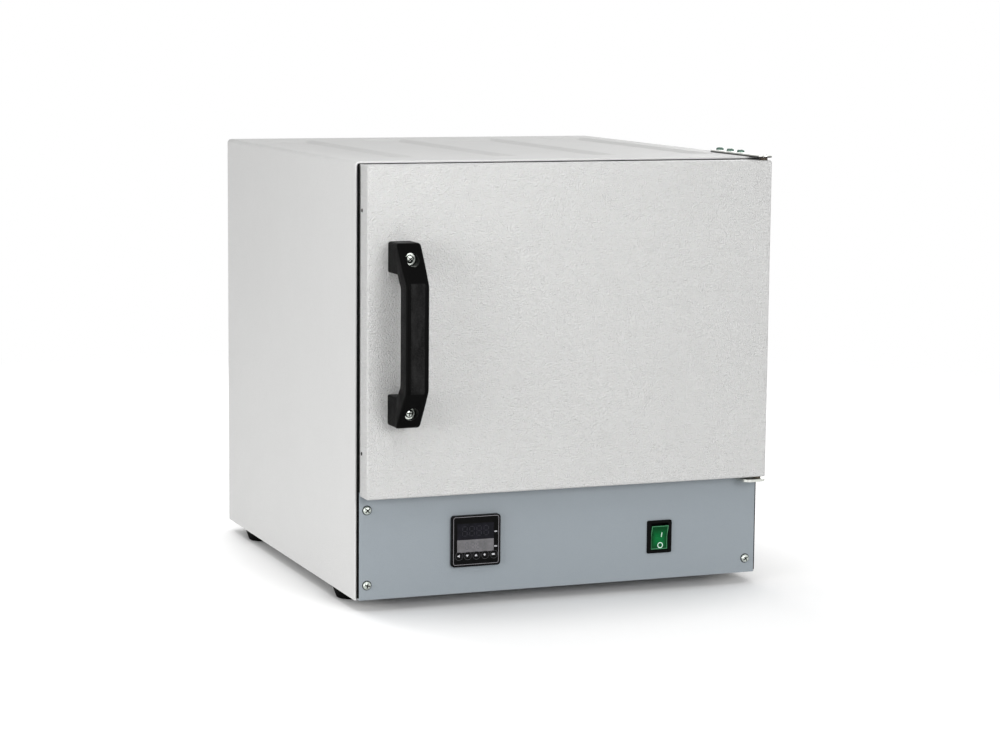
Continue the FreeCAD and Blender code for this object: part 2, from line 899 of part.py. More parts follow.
def vent_tube():
    y0, y1 = chamber_back - vent_inner_stand, rear_y + vent_stand
    tube = along_y(vent_radius, vent_x, y0, y1, vent_z)
    return tube.cut(along_y(vent_radius - vent_wall, vent_x, y0 - cut_overrun, y1 + cut_overrun, vent_z))


def vent_pivot_x():
    return vent_x - pivot_reach


def vent_collar():
    y1 = rear_y + collar_sheet
    pivot = vent_pivot_x()
    plate = joined([
        along_y(collar_radius, vent_x, rear_y, y1, vent_z),
        along_y(pivot_pad, pivot, rear_y, y1, vent_z),
        block(pivot, vent_x, rear_y, y1, vent_z - pivot_pad, vent_z + pivot_pad),
        along_y(pivot_boss, pivot, rear_y, rear_y + vent_stand, vent_z),
    ])
    holes = [
        along_y(vent_radius + hole_clearance, vent_x, rear_y - cut_overrun, rear_y + cut_overrun, vent_z),
        along_y(screw_radius + pin_fit, pivot, rear_y - cut_overrun, rear_y + cut_overrun, vent_z),
    ]
    return cut_all(plate, holes)


def vent_flap():
    y0 = rear_y + vent_stand + flap_gap
    y1 = y0 + flap_sheet
    pivot = vent_pivot_x()
    flap = joined([
        along_y(flap_radius, vent_x, y0, y1, vent_z),
        along_y(flap_hub, pivot, y0, y1, vent_z),
        block(pivot, vent_x, y0, y1, vent_z - flap_hub, vent_z + flap_hub),
        along_y(flap_knob_radius, vent_x, y0, y1 + flap_knob_height, vent_z),
    ])
    return flap.cut(along_y(screw_radius + pin_fit, pivot, y0 - cut_overrun, y1 + cut_overrun, vent_z))


def vent_flap_screw():
    seat = rear_y + vent_stand + 2 * flap_gap + flap_sheet
    return plate_screw(Vector(vent_pivot_x(), seat, vent_z), AXIS_Y, screw_length)


# Door

def hollow_for_bush(bottom):
    """The space round an upper or lower pivot bush that the liner leaves free."""
    x0, x1 = pin_x - bush_left - bush_margin, front_half + cut_overrun
    height = bush_depth + bush_margin
    low = door_bottom if bottom else door_top - height
    return block(x0, x1, door_face, door_back - liner_sheet, low, low + height)


def handle_screw_heights():
    low = handle_bottom + handle_screw_inset
    return [low, handle_bottom + handle_length - handle_screw_inset]


def side_screw_places():
    """Heights of the small screws in both side walls of the door."""
    return [door_bottom + small_screw_margin, door_top - small_screw_margin]


def door_skin():
    pan = block(-front_half, front_half, door_face, door_back, door_bottom, door_top)
    rounded = edges_along(pan, AXIS_Y) + edges_at(pan, AXIS_Y, door_face)
    pan = pan.makeFillet(door_round, rounded)
    inner = front_half - door_sheet
    cutters = [block(-inner, inner, door_face + door_sheet, door_back + cut_overrun,
                     door_bottom + door_sheet, door_top - door_sheet)]
    collar = pin_radius + collar_wall + hole_clearance
    cutters.append(along_z(collar, pin_x, pin_y, door_top - door_sheet, door_top + cut_overrun))
    cutters.append(along_z(collar, pin_x, pin_y, door_bottom - cut_overrun, door_bottom + door_sheet))
    for z in handle_screw_heights():
        cutters.append(along_y(foot_bore, handle_x, door_face - cut_overrun, door_face + cut_overrun, z))
    for z in side_screw_places():
        y = door_back - small_screw_back
        cutters.append(rod(small_screw_radius + hole_clearance, Vector(-half, y, z), Vector(half, y, z)))
    return cut_all(pan, cutters)


def plug_half():
    return chamber_half - plug_clearance


def door_liner():
    inner = front_half - door_sheet
    low, high = door_bottom + door_sheet, door_top - door_sheet
    front = door_back - liner_sheet - liner_flange
    tray = block(-inner, inner, front, door_back, low, high)
    hollow = block(-inner + liner_sheet, inner - liner_sheet, front - cut_overrun, door_back - liner_sheet,
                   low + liner_sheet, high - liner_sheet)
    plug_low, plug_high = chamber_floor + plug_clearance, chamber_ceiling - plug_clearance
    plug = rounded_block(-plug_half(), plug_half(), door_back - liner_sheet, face_y + plug_depth,
                         plug_low, plug_high, plug_round, AXIS_Y)
    plug_inner = block(-plug_half() + liner_sheet, plug_half() - liner_sheet,
                       front, face_y + plug_depth - liner_sheet,
                       plug_low + liner_sheet, plug_high - liner_sheet)
    liner = joined([tray.cut(hollow), plug])
    liner = liner.cut(plug_inner)
    cutters = [hollow_for_bush(True), hollow_for_bush(False)]
    for z in side_screw_places():
        y = door_back - small_screw_back
        cutters.append(rod(small_screw_radius + hole_clearance, Vector(-half, y, z), Vector(half, y, z)))
    return cut_all(liner, cutters)


def door_insulation():
    """The fill of the door and its plug, clear of the bushes and of the handle's nuts."""
    edge = front_half - door_sheet - liner_sheet - fill_margin
    right = pin_x - bush_left - bush_margin - fill_gap
    low = door_bottom + door_sheet + liner_sheet + fill_margin
    high = door_top - door_sheet - liner_sheet - fill_margin
    front, back = door_face + door_sheet + fill_gap, door_back - liner_sheet - fill_gap
    slab = block(-edge, right, front, back, low, high)
    inset = liner_sheet + fill_gap + plug_round
    plug = block(-plug_half() + inset, plug_half() - inset, door_back - liner_sheet - cut_overrun,
                 face_y + plug_depth - liner_sheet - fill_gap,
                 chamber_floor + plug_clearance + inset, chamber_ceiling - plug_clearance - inset)
    cutters = []
    for z in handle_screw_heights():
        cutters.append(along_y(nut_radius + soft_hole_clearance, handle_x, door_face, face_y, z))
    return cut_all(joined([slab, plug]), cutters)


def door_side_screws():
    y = door_back - small_screw_back
    screws = []
    for z in side_screw_places():
        for side in (-1, 1):
            screws.append(side_screw(Vector(side * front_half, y, z), AXIS_X * side))
    return Part.makeCompound(screws)


def door_bush(bottom):
    """A bush block behind the door's edge, with a collar out through the sheet round the pin."""
    low = door_bottom + door_sheet if bottom else door_top - door_sheet - bush_depth
    body = block(pin_x - bush_left, pin_x + bush_right, door_face + door_sheet + fill_gap,
                 door_back - liner_sheet - fill_gap, low, low + bush_depth)
    collar = pin_radius + collar_wall
    if bottom:
        neck = along_z(collar, pin_x, pin_y, bracket_top, low)
    else:
        neck = along_z(collar, pin_x, pin_y, low + bush_depth, case_top - plate_clearance)
    bore = along_z(pin_radius + pin_fit, pin_x, pin_y, case_bottom, case_top + cut_overrun)
    return joined([body, neck]).cut(bore)


def top_hinge_pin():
    z1 = case_top + hinge_plate_thickness
    shank = along_z(pin_radius, pin_x, pin_y, door_top - pin_engagement, z1)
    head = along_z(pin_head_radius, pin_x, pin_y, z1, z1 + pin_head_height)
    head = head.makeFillet(pin_head_height * head_dome_share, edges_at(head, AXIS_Z, z1 + pin_head_height))
    return joined([shank, head])


def bottom_hinge_pin():
    shank = along_z(pin_radius, pin_x, pin_y, bracket_bottom, door_bottom + pin_engagement)
    head = along_z(pin_head_radius, pin_x, pin_y, bracket_bottom - pin_head_height / 2, bracket_bottom)
    return joined([shank, head])


def hinge_screw_places():
    return [Vector(pin_x, face_y + hinge_screw_first + hinge_screw_pitch * index, case_top)
            for index in range(hinge_screw_count)]


def top_hinge_plate():
    z0, z1 = case_top, case_top + hinge_plate_thickness
    rear = face_y + hinge_plate_length
    plate = joined([
        block(pin_x - hinge_plate_half, pin_x + hinge_plate_half, pin_y, rear, z0, z1),
        along_z(hinge_plate_half, pin_x, pin_y, z0, z1),
    ])
    cutters = [along_z(pin_radius + pin_fit, pin_x, pin_y, z0 - cut_overrun, z1 + cut_overrun)]
    for place in hinge_screw_places():
        cutters.append(along_z(screw_hole, place.x, place.y, z0 - cut_overrun, z1 + cut_overrun))
    return cut_all(plate, cutters)


def bracket_screw_places():
    x = pin_x + (bracket_neck_right - bracket_neck_left) / 2
    top = bracket_bottom - bracket_screw_drop
    return [(x, top), (x, top - bracket_screw_pitch)]


def bottom_hinge_bracket():
    """A nose under the door, a neck through the panel and a leg screwed to the right post."""
    x0, x1 = pin_x - bracket_left, pin_x + bracket_right
    neck0, neck1 = pin_x - bracket_neck_left, pin_x + bracket_neck_right
    back = panel_back + post_sheet
    nose = block(x0, x1, face_y - bracket_reach, face_y, bracket_bottom, bracket_top)
    front_corners = [edge for edge in edges_along(nose, AXIS_Z) if edge.Vertexes[0].Y < face_y - touch]
    nose = nose.makeFillet(bracket_nose, front_corners)
    leg_back = back + hinge_plate_thickness
    bracket = joined([
        nose,
        block(neck0, neck1, face_y - cut_overrun, leg_back, bracket_bottom, bracket_top),
        block(neck0, neck1, back, leg_back, bracket_top - bracket_leg_height, bracket_top),
    ])
    low, high = bracket_bottom - cut_overrun, bracket_top + cut_overrun
    cutters = [along_z(pin_radius + pin_fit, pin_x, pin_y, low, high)]
    for x, z in bracket_screw_places():
        cutters.append(along_y(screw_hole, x, face_y, leg_back + cut_overrun, z))
    return cut_all(bracket, cutters)


def hinge_screws():
    """The screws of the top hinge plate and of the lower bracket, all of one kind."""
    lift = Vector(0, 0, hinge_plate_thickness)
    back = panel_back + post_sheet + hinge_plate_thickness
    screws = []
    for place in hinge_screw_places():
        screws.append(plate_screw(place + lift, AXIS_Z, hinge_screw_length))
    for x, z in bracket_screw_places():
        screws.append(plate_screw(Vector(x, back, z), AXIS_Y, hinge_screw_length))
    return Part.makeCompound(screws)


def catch_place():
    return -front_half + catch_inset, (frame_bottom + door_top) / 2


def door_catch():
    """A magnet block let into the front frame, which holds the steel liner of the door."""
    x, z = catch_place()
    wide, high = catch_width / 2, catch_height / 2
    return block(x - wide, x + wide, door_back, panel_back + catch_back, z - high, z + high)


# Handle

def handle_point(reach, rise):
    return Vector(0, door_face - reach, handle_bottom + rise)


def handle_profile():
    """The handle seen from the side: a bridge with sloped ends and two feet."""
    lower = [(0, 0), (handle_nose, 0), (handle_reach, handle_slope)]
    inner = [(finger_depth, finger_slope), (finger_step, handle_foot), (0, handle_foot)]
    outer_points = lower + [(reach, handle_length - rise) for reach, rise in reversed(lower)]
    inner_points = [(reach, handle_length - rise) for reach, rise in reversed(inner)] + inner
    points = [handle_point(reach, rise) for reach, rise in outer_points + inner_points]
    return Part.Face(Part.makePolygon(points + points[:1]))


def handle_edges(solid, reach, rises):
    """The handle's cross edges that lie at this reach and at one of these rises."""
    found = []
    for edge in edges_along(solid, AXIS_X):
        point = edge.Vertexes[0].Point
        for rise in rises:
            target = handle_point(reach, rise)
            if abs(point.y - target.y) < touch and abs(point.z - target.z) < touch:
                found.append(edge)
    return found


def door_handle():
    solid = handle_profile().extrude(AXIS_X * handle_width)
    solid.translate(Vector(handle_x - handle_width / 2, 0, 0))
    rounds = [
        (handle_reach, handle_slope, handle_knuckle_round),
        (finger_depth, finger_slope, handle_grip_round),
        (finger_step, handle_foot, handle_corner_round),
        (handle_nose, 0, handle_corner_round),
    ]
    for reach, rise, radius in rounds:
        solid = solid.makeFillet(radius, handle_edges(solid, reach, (rise, handle_length - rise)))
    solid = solid.makeFillet(handle_edge_round, grip_edges(solid, handle_reach))
    solid = solid.makeFillet(handle_inner_round, grip_edges(solid, finger_depth))
    y0, y1 = door_face - handle_reach - cut_overrun, door_face + cut_overrun
    cutters = []
    for z in handle_screw_heights():
        floor_y = door_face - handle_recess_depth
        cutters.append(along_y(handle_recess_radius, handle_x, y0, floor_y, z))
        cutters.append(along_y(foot_bore, handle_x, y0, y1, z))
    return cut_all(solid, cutters)


def grip_edges(solid, reach):
    """The two upright edges of the grip at this reach; rounding one follows its whole outline."""
    depth = door_face - reach
    return [edge for edge in edges_along(solid, AXIS_Z) if abs(edge.Vertexes[0].Y - depth) < touch]


def handle_screws():
    seat = door_face - handle_recess_depth
    return Part.makeCompound([
        cross_screw(Vector(handle_x, seat, z), -AXIS_Y, foot_bore - hole_clearance, handle_screw_length)
        for z in handle_screw_heights()])


def handle_nuts():
    nuts = []
    y0 = door_face + door_sheet
    y1 = y0 + nut_length
    for z in handle_screw_heights():
        sleeve = along_y(nut_radius, handle_x, y0, y1, z)
        nuts.append(sleeve.cut(along_y(foot_bore, handle_x, y0 - cut_overrun, y1 + cut_overrun, z)))
    return Part.makeCompound(nuts)


# Controller

def key_places():
    start = controller_x - key_pitch * (key_count - 1) / 2
    return [start + key_pitch * index for index in range(key_count)]


def key_z():
    return controller_z - key_drop


def window_block(front, back):
    """The space of the display window, between two depths."""
    x, z = controller_x - window_shift, controller_z + window_rise
    wide, high = window_width / 2, window_height / 2
    return block(x - wide, x + wide, front, back, z - high, z + high)


def controller_bezel():
    side = bezel_size / 2
    front = face_y - bezel_stand
    body = rounded_block(controller_x - side, controller_x + side, front, face_y,
                         controller_z - side, controller_z + side, bezel_corner, AXIS_Y)
    body = body.makeFillet(bezel_front_round, edges_at(body, AXIS_Y, front))
    cutters = [window_block(front - cut_overrun, front + window_inset + window_sheet)]
    wide = key_width / 2 + key_clearance
    high = key_height / 2 + key_clearance
    for x in key_places():
        cutters.append(block(x - wide, x + wide, front - cut_overrun, face_y + cut_overrun,
                             key_z() - high, key_z() + high))
    span = key_pitch * (key_count - 1) / 2 + key_width / 2 + key_flange + key_clearance
    high = key_height / 2 + key_flange + key_clearance
    cutters.append(block(controller_x - span, controller_x + span, front + key_wall, face_y + cut_overrun,
                         key_z() - high, key_z() + high))
    return cut_all(body, cutters)


def controller_window():
    front = face_y - bezel_stand + window_inset
    return window_block(front, front + window_sheet)


def controller_key(x):
    """One key: a small cap through the bezel and a flange behind the bezel's front wall."""
    front = face_y - bezel_stand
    wide, high = key_width / 2, key_height / 2
    back = front + key_wall
    z = key_z()
    cap = rounded_block(x - wide, x + wide, front - key_stand, back, z - high, z + high, key_round, AXIS_Y)
    wide, high = wide + key_flange, high + key_flange
    flange = block(x - wide, x + wide, back, back + key_flange_thickness, z - high, z + high)
    return joined([cap, flange])


def controller_housing():
    side = housing_size / 2
    return rounded_block(controller_x - side, controller_x + side, face_y, face_y + housing_depth,
                         controller_z - side, controller_z + side, bezel_corner, AXIS_Y)


# Switch

def rocker_pivot_y():
    return face_y + rocker_pivot_back


def switch_housing():
    wide, high = switch_frame_width / 2, switch_frame_height / 2
    front = face_y - switch_frame_stand
    frame = rounded_block(switch_x - wide, switch_x + wide, front, face_y,
                          switch_z - high, switch_z + high, switch_frame_corner, AXIS_Y)
    frame = frame.makeFillet(rocker_edge_round, edges_at(frame, AXIS_Y, front))
    wide, high = switch_body_width / 2, switch_body_height / 2
    body = block(switch_x - wide, switch_x + wide, face_y - touch, face_y + switch_body_depth,
                 switch_z - high, switch_z + high)
    wide = rocker_width / 2 + rocker_side_clearance
    high = rocker_half + rocker_end_clearance
    well = block(switch_x - wide, switch_x + wide, front - cut_overrun, face_y + rocker_well,
                 switch_z - high, switch_z + high)
    reach = wide + rocker_stub_length
    stub = rod(rocker_stub_radius + rocker_stub_clearance,
               Vector(switch_x - reach, rocker_pivot_y(), switch_z),
               Vector(switch_x + reach, rocker_pivot_y(), switch_z))
    return cut_all(joined([frame, body]), [well, stub])


def switch_rocker():
    """The rocker with its lower half pressed in, on two stubs that turn in the housing."""
    outline = [
        (rocker_corner_depth, rocker_half), (rocker_middle_depth, 0), (rocker_corner_depth, -rocker_half),
        (-rocker_back_depth, -rocker_back_half), (-rocker_back_depth, rocker_back_half),
    ]
    x0 = switch_x - rocker_width / 2
    points = [Vector(x0, rocker_pivot_y() - depth, switch_z + rise) for depth, rise in outline]
    body = Part.Face(Part.makePolygon(points + points[:1])).extrude(AXIS_X * rocker_width)
    tips = [edge for edge in edges_along(body, AXIS_X)
            if edge.Vertexes[0].Y < rocker_pivot_y() - rocker_corner_depth + touch]
    body = body.makeFillet(rocker_edge_round, tips)
    reach = rocker_width / 2 + rocker_stub_length
    stub = rod(rocker_stub_radius, Vector(switch_x - reach, rocker_pivot_y(), switch_z),
               Vector(switch_x + reach, rocker_pivot_y(), switch_z))
    rocker = joined([body, stub])
    rocker.rotate(Vector(switch_x, rocker_pivot_y(), switch_z), AXIS_X, rocker_swing)
    return rocker


# Feet

def foot_places():
    x = half - foot_inset
    front, rear = face_y + foot_front, rear_y - foot_rear
    return [(-x, front), (x, front), (-x, rear), (x, rear)]


def foot(x, y):
    body = Part.makeCone(foot_tip_radius, foot_top_radius, foot_height, Vector(x, y, 0), AXIS_Z)
    body = body.makeFillet(foot_tip_round, edges_at(body, AXIS_Z, 0))
    recess = along_z(foot_recess_radius, x, y, -cut_overrun, foot_recess_depth)
    bore = along_z(foot_bore, x, y, -cut_overrun, foot_height + cut_overrun)
    return cut_all(body, [recess, bore])


def foot_screws():
    length = foot_height - foot_recess_depth + shell_sheet + base_sheet + foot_screw_end
    return Part.makeCompound([
        cross_screw(Vector(x, y, foot_recess_depth), -AXIS_Z, foot_bore - hole_clearance, length)
        for x, y in foot_places()])


# Electrical pieces

def relay():
    x, y = relay_x, face_y + relay_y
    wide, deep = relay_width / 2, relay_depth / 2
    return rounded_block(x - wide, x + wide, y - deep, y + deep, base_top, base_top + relay_height,
                         bezel_corner, AXIS_Z)


def safety_thermostat():
    x, y = thermostat_x, face_y + thermostat_y
    side = thermostat_size / 2
    top = base_top + thermostat_height
    body = rounded_block(x - side, x + side, y - side, y + side, base_top, top, bezel_corner, AXIS_Z)
    return joined([body, along_z(thermostat_stem_radius, x, y, top, top + thermostat_stem)])


def inlet_screw_places():
    return [(inlet_x - inlet_screw_pitch / 2, inlet_z), (inlet_x + inlet_screw_pitch / 2, inlet_z)]


def power_inlet():
    wide, high = inlet_flange_width / 2, inlet_flange_height / 2
    front = rear_y + inlet_flange_sheet
    flange = rounded_block(inlet_x - wide, inlet_x + wide, rear_y, front,
                           inlet_z - high, inlet_z + high, inlet_corner, AXIS_Y)
    wide, high = inlet_body_width / 2, inlet_body_height / 2
    body = block(inlet_x - wide, inlet_x + wide, rear_y - inlet_body_depth, rear_y + touch,
                 inlet_z - high, inlet_z + high)
    wide, high = inlet_socket_width / 2, inlet_socket_height / 2
    socket = rounded_block(inlet_x - wide, inlet_x + wide, front - inlet_socket_depth, front + cut_overrun,
                           inlet_z - high, inlet_z + high, inlet_corner, AXIS_Y)
    cutters = [socket]
    for x, z in inlet_screw_places():
        cutters.append(along_y(screw_hole, x, rear_y - cut_overrun, front + cut_overrun, z))
    return cut_all(joined([flange, body]), cutters)


def inlet_pins():
    """Three flat contacts that stand up from the socket's floor."""
    y0 = rear_y + inlet_flange_sheet - inlet_socket_depth
    places = [
        (-inlet_pin_spacing, -inlet_pin_rise),
        (inlet_pin_spacing, -inlet_pin_rise),
        (0, inlet_pin_rise),
    ]
    wide, high = inlet_pin_width / 2, inlet_pin_height / 2
    pins = []
    for dx, dz in places:
        x, z = inlet_x + dx, inlet_z + dz
        pins.append(block(x - wide, x + wide, y0, y0 + inlet_pin_length, z - high, z + high))
    return Part.makeCompound(pins)


# Every piece, written to its own file

os.makedirs("parts", exist_ok=True)

save("outer_shell", outer_shell())
save("edge_seal", edge_seal())
save("base_plate", base_plate())
save("rear_cover", rear_cover())
save("rear_screws", rear_screws())
save("control_panel", control_panel())
save("panel_screws", panel_screws())
save("front_frame", front_frame())
save("front_post_left", front_post(-1))
save("front_post_right", front_post(1))
save("compartment_deck", compartment_deck())
save("chamber", chamber())
save("chamber_gasket", chamber_gasket())
save("chamber_insulation", chamber_insulation())
save("heating_element", heating_element())
save("heater_floor", heater_floor())
save("shelf_rack_left", shelf_rack(-1))
save("shelf_rack_right", shelf_rack(1))
save("shelf_lower", shelf(0))
save("shelf_upper", shelf(2))
save("control_sensor", sensor(1))
save("safety_sensor", sensor(-1))
save("vent_tube", vent_tube())
save("vent_collar", vent_collar())
save("vent_flap", vent_flap())
save("vent_flap_screw", vent_flap_screw())
save("door_skin", door_skin())
save("door_liner", door_liner())
save("door_insulation", door_insulation())
save("door_side_screws", door_side_screws())
save("door_bush_top", door_bush(False))
save("door_bush_bottom", door_bush(True))
save("door_catch", door_catch())
save("door_handle", door_handle())
save("handle_screws", handle_screws())
save("handle_nuts", handle_nuts())
save("top_hinge_plate", top_hinge_plate())
save("hinge_screws", hinge_screws())
save("top_hinge_pin", top_hinge_pin())
save("bottom_hinge_bracket", bottom_hinge_bracket())
save("bottom_hinge_pin", bottom_hinge_pin())
save("controller_bezel", controller_bezel())
save("controller_window", controller_window())
save("controller_housing", controller_housing())
for number, key_x in enumerate(key_places(), start=1):
    save("controller_key_" + str(number), controller_key(key_x))
save("switch_housing", switch_housing())
save("switch_rocker", switch_rocker())
save("relay", relay())
save("safety_thermostat", safety_thermostat())
save("power_inlet", power_inlet())
save("inlet_pins", inlet_pins())
for name, (foot_x, foot_y) in zip(FOOT_NAMES, foot_places()):
    save(name, foot(foot_x, foot_y))
save("foot_screws", foot_screws())
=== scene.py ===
import json
import math

import bmesh
import bpy
from mathutils import Matrix, Vector


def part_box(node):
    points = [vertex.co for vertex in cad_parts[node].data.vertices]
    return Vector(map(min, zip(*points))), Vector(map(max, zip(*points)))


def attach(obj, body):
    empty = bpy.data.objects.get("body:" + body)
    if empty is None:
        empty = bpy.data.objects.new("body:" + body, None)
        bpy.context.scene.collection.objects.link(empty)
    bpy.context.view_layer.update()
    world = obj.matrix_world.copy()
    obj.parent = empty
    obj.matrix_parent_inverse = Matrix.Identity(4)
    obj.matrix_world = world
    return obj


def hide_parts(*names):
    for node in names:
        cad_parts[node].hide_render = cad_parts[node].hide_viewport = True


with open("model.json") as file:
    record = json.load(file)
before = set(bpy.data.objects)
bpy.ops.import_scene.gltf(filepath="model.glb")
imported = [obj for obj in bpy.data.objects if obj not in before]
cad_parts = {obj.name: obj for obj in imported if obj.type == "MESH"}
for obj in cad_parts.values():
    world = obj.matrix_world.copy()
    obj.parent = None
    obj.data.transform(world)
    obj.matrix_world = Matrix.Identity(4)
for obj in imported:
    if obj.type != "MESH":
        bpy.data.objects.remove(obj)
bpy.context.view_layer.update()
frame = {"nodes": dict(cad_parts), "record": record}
nodes = frame["nodes"]
scene = bpy.context.scene

# The object is a dry heat sterilizer for the bench. Lengths are in metres, and lists of
# outlines in millimetres. Vertices closer than WELD are one.
MM = 0.001
WELD = 0.001 * MM

# The photograph's view, in the frame of the object
CAMERA_AZIMUTH = math.radians(21.4736)
CAMERA_ELEVATION = math.radians(7.732)
CAMERA_ROLL = math.radians(0.5183)
CAMERA_DISTANCE = 2.542266
CAMERA_TARGET = Vector((-0.065845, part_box("control_panel")[0][1], 0.218364))
CAMERA_LENS = 97.223
CAMERA_CLIP = (0.05, 60.0)
SENSOR_WIDTH = 36.0

# Floor and light
FLOOR_SIZE = 9.0
FLOOR_COLOUR = (0.9, 0.9, 0.9, 1.0)
FLOOR_SEEN = (1.32, 1.32, 1.32, 1.0)
# Painted shade on the floor: its darkest colour, how far ambient occlusion looks, and the
# occlusion where the shade is full and where it ends
FLOOR_PAINTED_SHADE = (0.84, 0.84, 0.84, 1.0)
PAINTED_SHADE_REACH = 0.25
PAINTED_SHADE_FULL = 0.35
PAINTED_SHADE_NONE = 0.80
FLOOR_FADE_START = 0.75
FLOOR_FADE_END = 1.7
AMBIENT = 0.57
LAMP_TARGET = Vector((0.0, 0.0, 0.2))

# Name, place, size, power, and whether the floor is all that it lights (INCLUDE), the only
# thing that it doesn't light (EXCLUDE), or nothing special
LAMPS = (
    ("key_lamp", (0.35, -2.2, 0.7), 0.65, 18.0, None),
    ("fill_lamp", (-1.7, -0.8, 0.28), 1.1, 16.0, "EXCLUDE"),
    ("near_lamp", (-0.22, -0.54, 0.66), 0.35, 0.8, "EXCLUDE"),
    ("top_lamp", (1.5, 1.2, 1.1), 1.6, 20.0, "EXCLUDE"),
    ("floor_fill_lamp", (-1.7, -0.8, 0.5), 1.1, 7.0, "INCLUDE"),
    ("floor_top_lamp", (-0.4, 2.0, 1.4), 1.6, 28.0, "INCLUDE"),
)

# Handle. Its outer and inner line have (reach from the door, rise from its foot) points up
# to the middle, in millimetres, and its inset grip starts INSET_END above its foot
HANDLE_OUTER = ((0.0, 0.0), (24.0, 0.0), (50.5, 36.0))
HANDLE_INNER = ((0.0, 28.5), (26.0, 28.5), (32.5, 41.0))
HANDLE_OUTER_ROUNDS = (4.0, 12.0)
HANDLE_INNER_ROUNDS = (4.0, 10.0)
HANDLE_ARC_STEPS = 8
HANDLE_LINE_STEPS = (3, 10, 30, 10, 3)
HANDLE_FOOT_HALF = 11.5 * MM
HANDLE_GRIP_HALF = 11.0 * MM
HANDLE_FRONT_ROUND = 2.4 * MM
HANDLE_BACK_ROUND = 1.6 * MM
HANDLE_ROUND_STEPS = 4
HANDLE_SMOOTH_ANGLE = 32
INSET_MARGIN = 1.4 * MM
INSET_SLOPE = 0.5 * MM
INSET_FLAT = 3 * INSET_SLOPE
INSET_DEPTH = 0.7 * MM
INSET_END = 39.5 * MM
INSET_RAMP = 1.6 * MM
HANDLE_SCREW_RISE = 14.2 * MM
HANDLE_RECESS_REACH = 26.0 * MM
HANDLE_RECESS_RADIUS = 6.2 * MM
HANDLE_RECESS_SIDES = 40

# Controller. A row of digits has its digits' width, height and bar thickness and their
# pitch, in millimetres, and its place as a share of the window's height
DISPLAY_SPLIT_Z = 63.4 * MM
DISPLAY_BLUR = 0.1 * MM
DIGIT_SEGMENTS = ("a", "b", "c", "d", "e", "f", "g")
DIGIT_ROWS = (
    ("display_upper", (4.6, 9.0, 0.9), 7.2, 0.73, "segment_dark"),
    ("display_lower", (3.4, 6.4, 0.7), 5.6, 0.22, "segment_grey"),
)
DIGIT_COUNT = 4
DIGIT_LIFT = 0.02 * MM
SEGMENT_END = 1.3
MARK_DEPTH = 0.05 * MM
# A painted highlight: a grey line round the front edge of the controller's bezel
HIGHLIGHT_LINE_INSET = 1.5 * MM
HIGHLIGHT_LINE_WIDTH = 0.45 * MM
HIGHLIGHT_LINE_SHIFT = (-0.5 * MM, 0.6 * MM)
CORNER_ROUND = 2.2 * MM
CORNER_STEPS = 6
INDICATOR_SHARES = (0.335, 0.625)
INDICATOR_X_SHARE = 0.895
INDICATOR_HALF = (1.4 * MM, 0.65 * MM)
KEY_RING_RADIUS = 4.0 * MM
KEY_RING_WIDTH = 0.4 * MM
KEY_RING_SIDES = 32
KEY_ICON_SHIFT = (-0.8 * MM, 0.3 * MM)
KEY_ICONS = (
    ((-1.4, 0.0), (1.1, 1.3), (1.1, -1.3)),
    ((0.0, -1.2), (-1.5, 0.9), (1.5, 0.9)),
    ((0.0, 1.2), (1.5, -0.9), (-1.5, -0.9)),
    ((0.0, 1.25), (1.25, 0.0), (0.0, -1.25), (-1.25, 0.0)),
    ((-1.4, 0.75), (1.4, 0.75), (1.4, -0.75), (-1.4, -0.75)),
)

# Rocker: its green with painted shade, its marks, and the highlights painted round its faces
ROCKER_PIVOT_BACK = 4.4 * MM
ROCKER_SWING = math.radians(7.0)
ROCKER_CORNER_DEPTH = 6.5 * MM
ROCKER_MIDDLE_DEPTH = 4.6 * MM
ROCKER_HALF = 12.2 * MM
ROCKER_FACE_HALF = 8.8 * MM
# Width of the lighter strip painted round each rocker face as its edges' highlight
ROCKER_HIGHLIGHT_WIDTH = 0.8 * MM
# Painted shade on the rocker: it starts at a share of each half and darkens out to the walls, with
# a darker band over its top
LENS_SHADE_START = 0.35
LENS_SHADE_LEVEL = 0.22
LENS_TOP_SHARES = (0.15, 0.7)
LENS_TOP_SHADE = 0.8
MARK_ON_PLACE = (2.6 * MM, 2.1 * MM)
MARK_ON_HALF = (0.42 * MM, 2.6 * MM)
MARK_OFF_PLACE = (1.3 * MM, -8.15 * MM)
MARK_OFF_RADIUS = 2.9 * MM
MARK_OFF_WIDTH = 0.75 * MM
MARK_OFF_SIDES = 40

# Screws. A profile has its points as shares of the head's radius and height
SCREW_HEAD_HEIGHT = 2.4 * MM
SCREW_RADIUS = 4.0 * MM
SCREW_SIDES = 36
SCREW_SHANK_SIDES = 16
SCREW_SHANK_SHARE = 0.5
# Outer radius, as a share of the head's, of the ring painted dark as the shadow round a screw
# without a washer
SCREW_SHADOW_RING_SHARE = 1.15
SCREW_SPIN = 0.7
SCREW_SMOOTH_ANGLE = 28
SCREW_SORT_DIGITS = 5
WASHER_SHARE = 1.38
WASHER_THICK = 0.5 * MM
RECESS_SPAN = 2.9 * MM
RECESS_HALF_WIDTH = 0.62 * MM
RECESS_TAPER = 0.72
RECESS_DEPTH = 1.5 * MM
RECESS_TOP = 1.2
RIM_SHARE = 0.9
HEAD_PROFILE = ((1.0, 0.0), (1.0, 0.30), (0.975, 0.46), (0.90, 0.66), (0.76, 0.84),
                (0.55, 0.95), (0.30, 1.0))

# Screws that are drawn in full: node, body, finish, and whether they have washers
SCREWS = (
    ("panel_screws", "case", "zinc_screw", False),
    ("rear_screws", "case", "zinc_screw", False),
    ("handle_screws", "door", "zinc_screw", True),
    ("hinge_screws", "case", "hinge_screw", False),
)

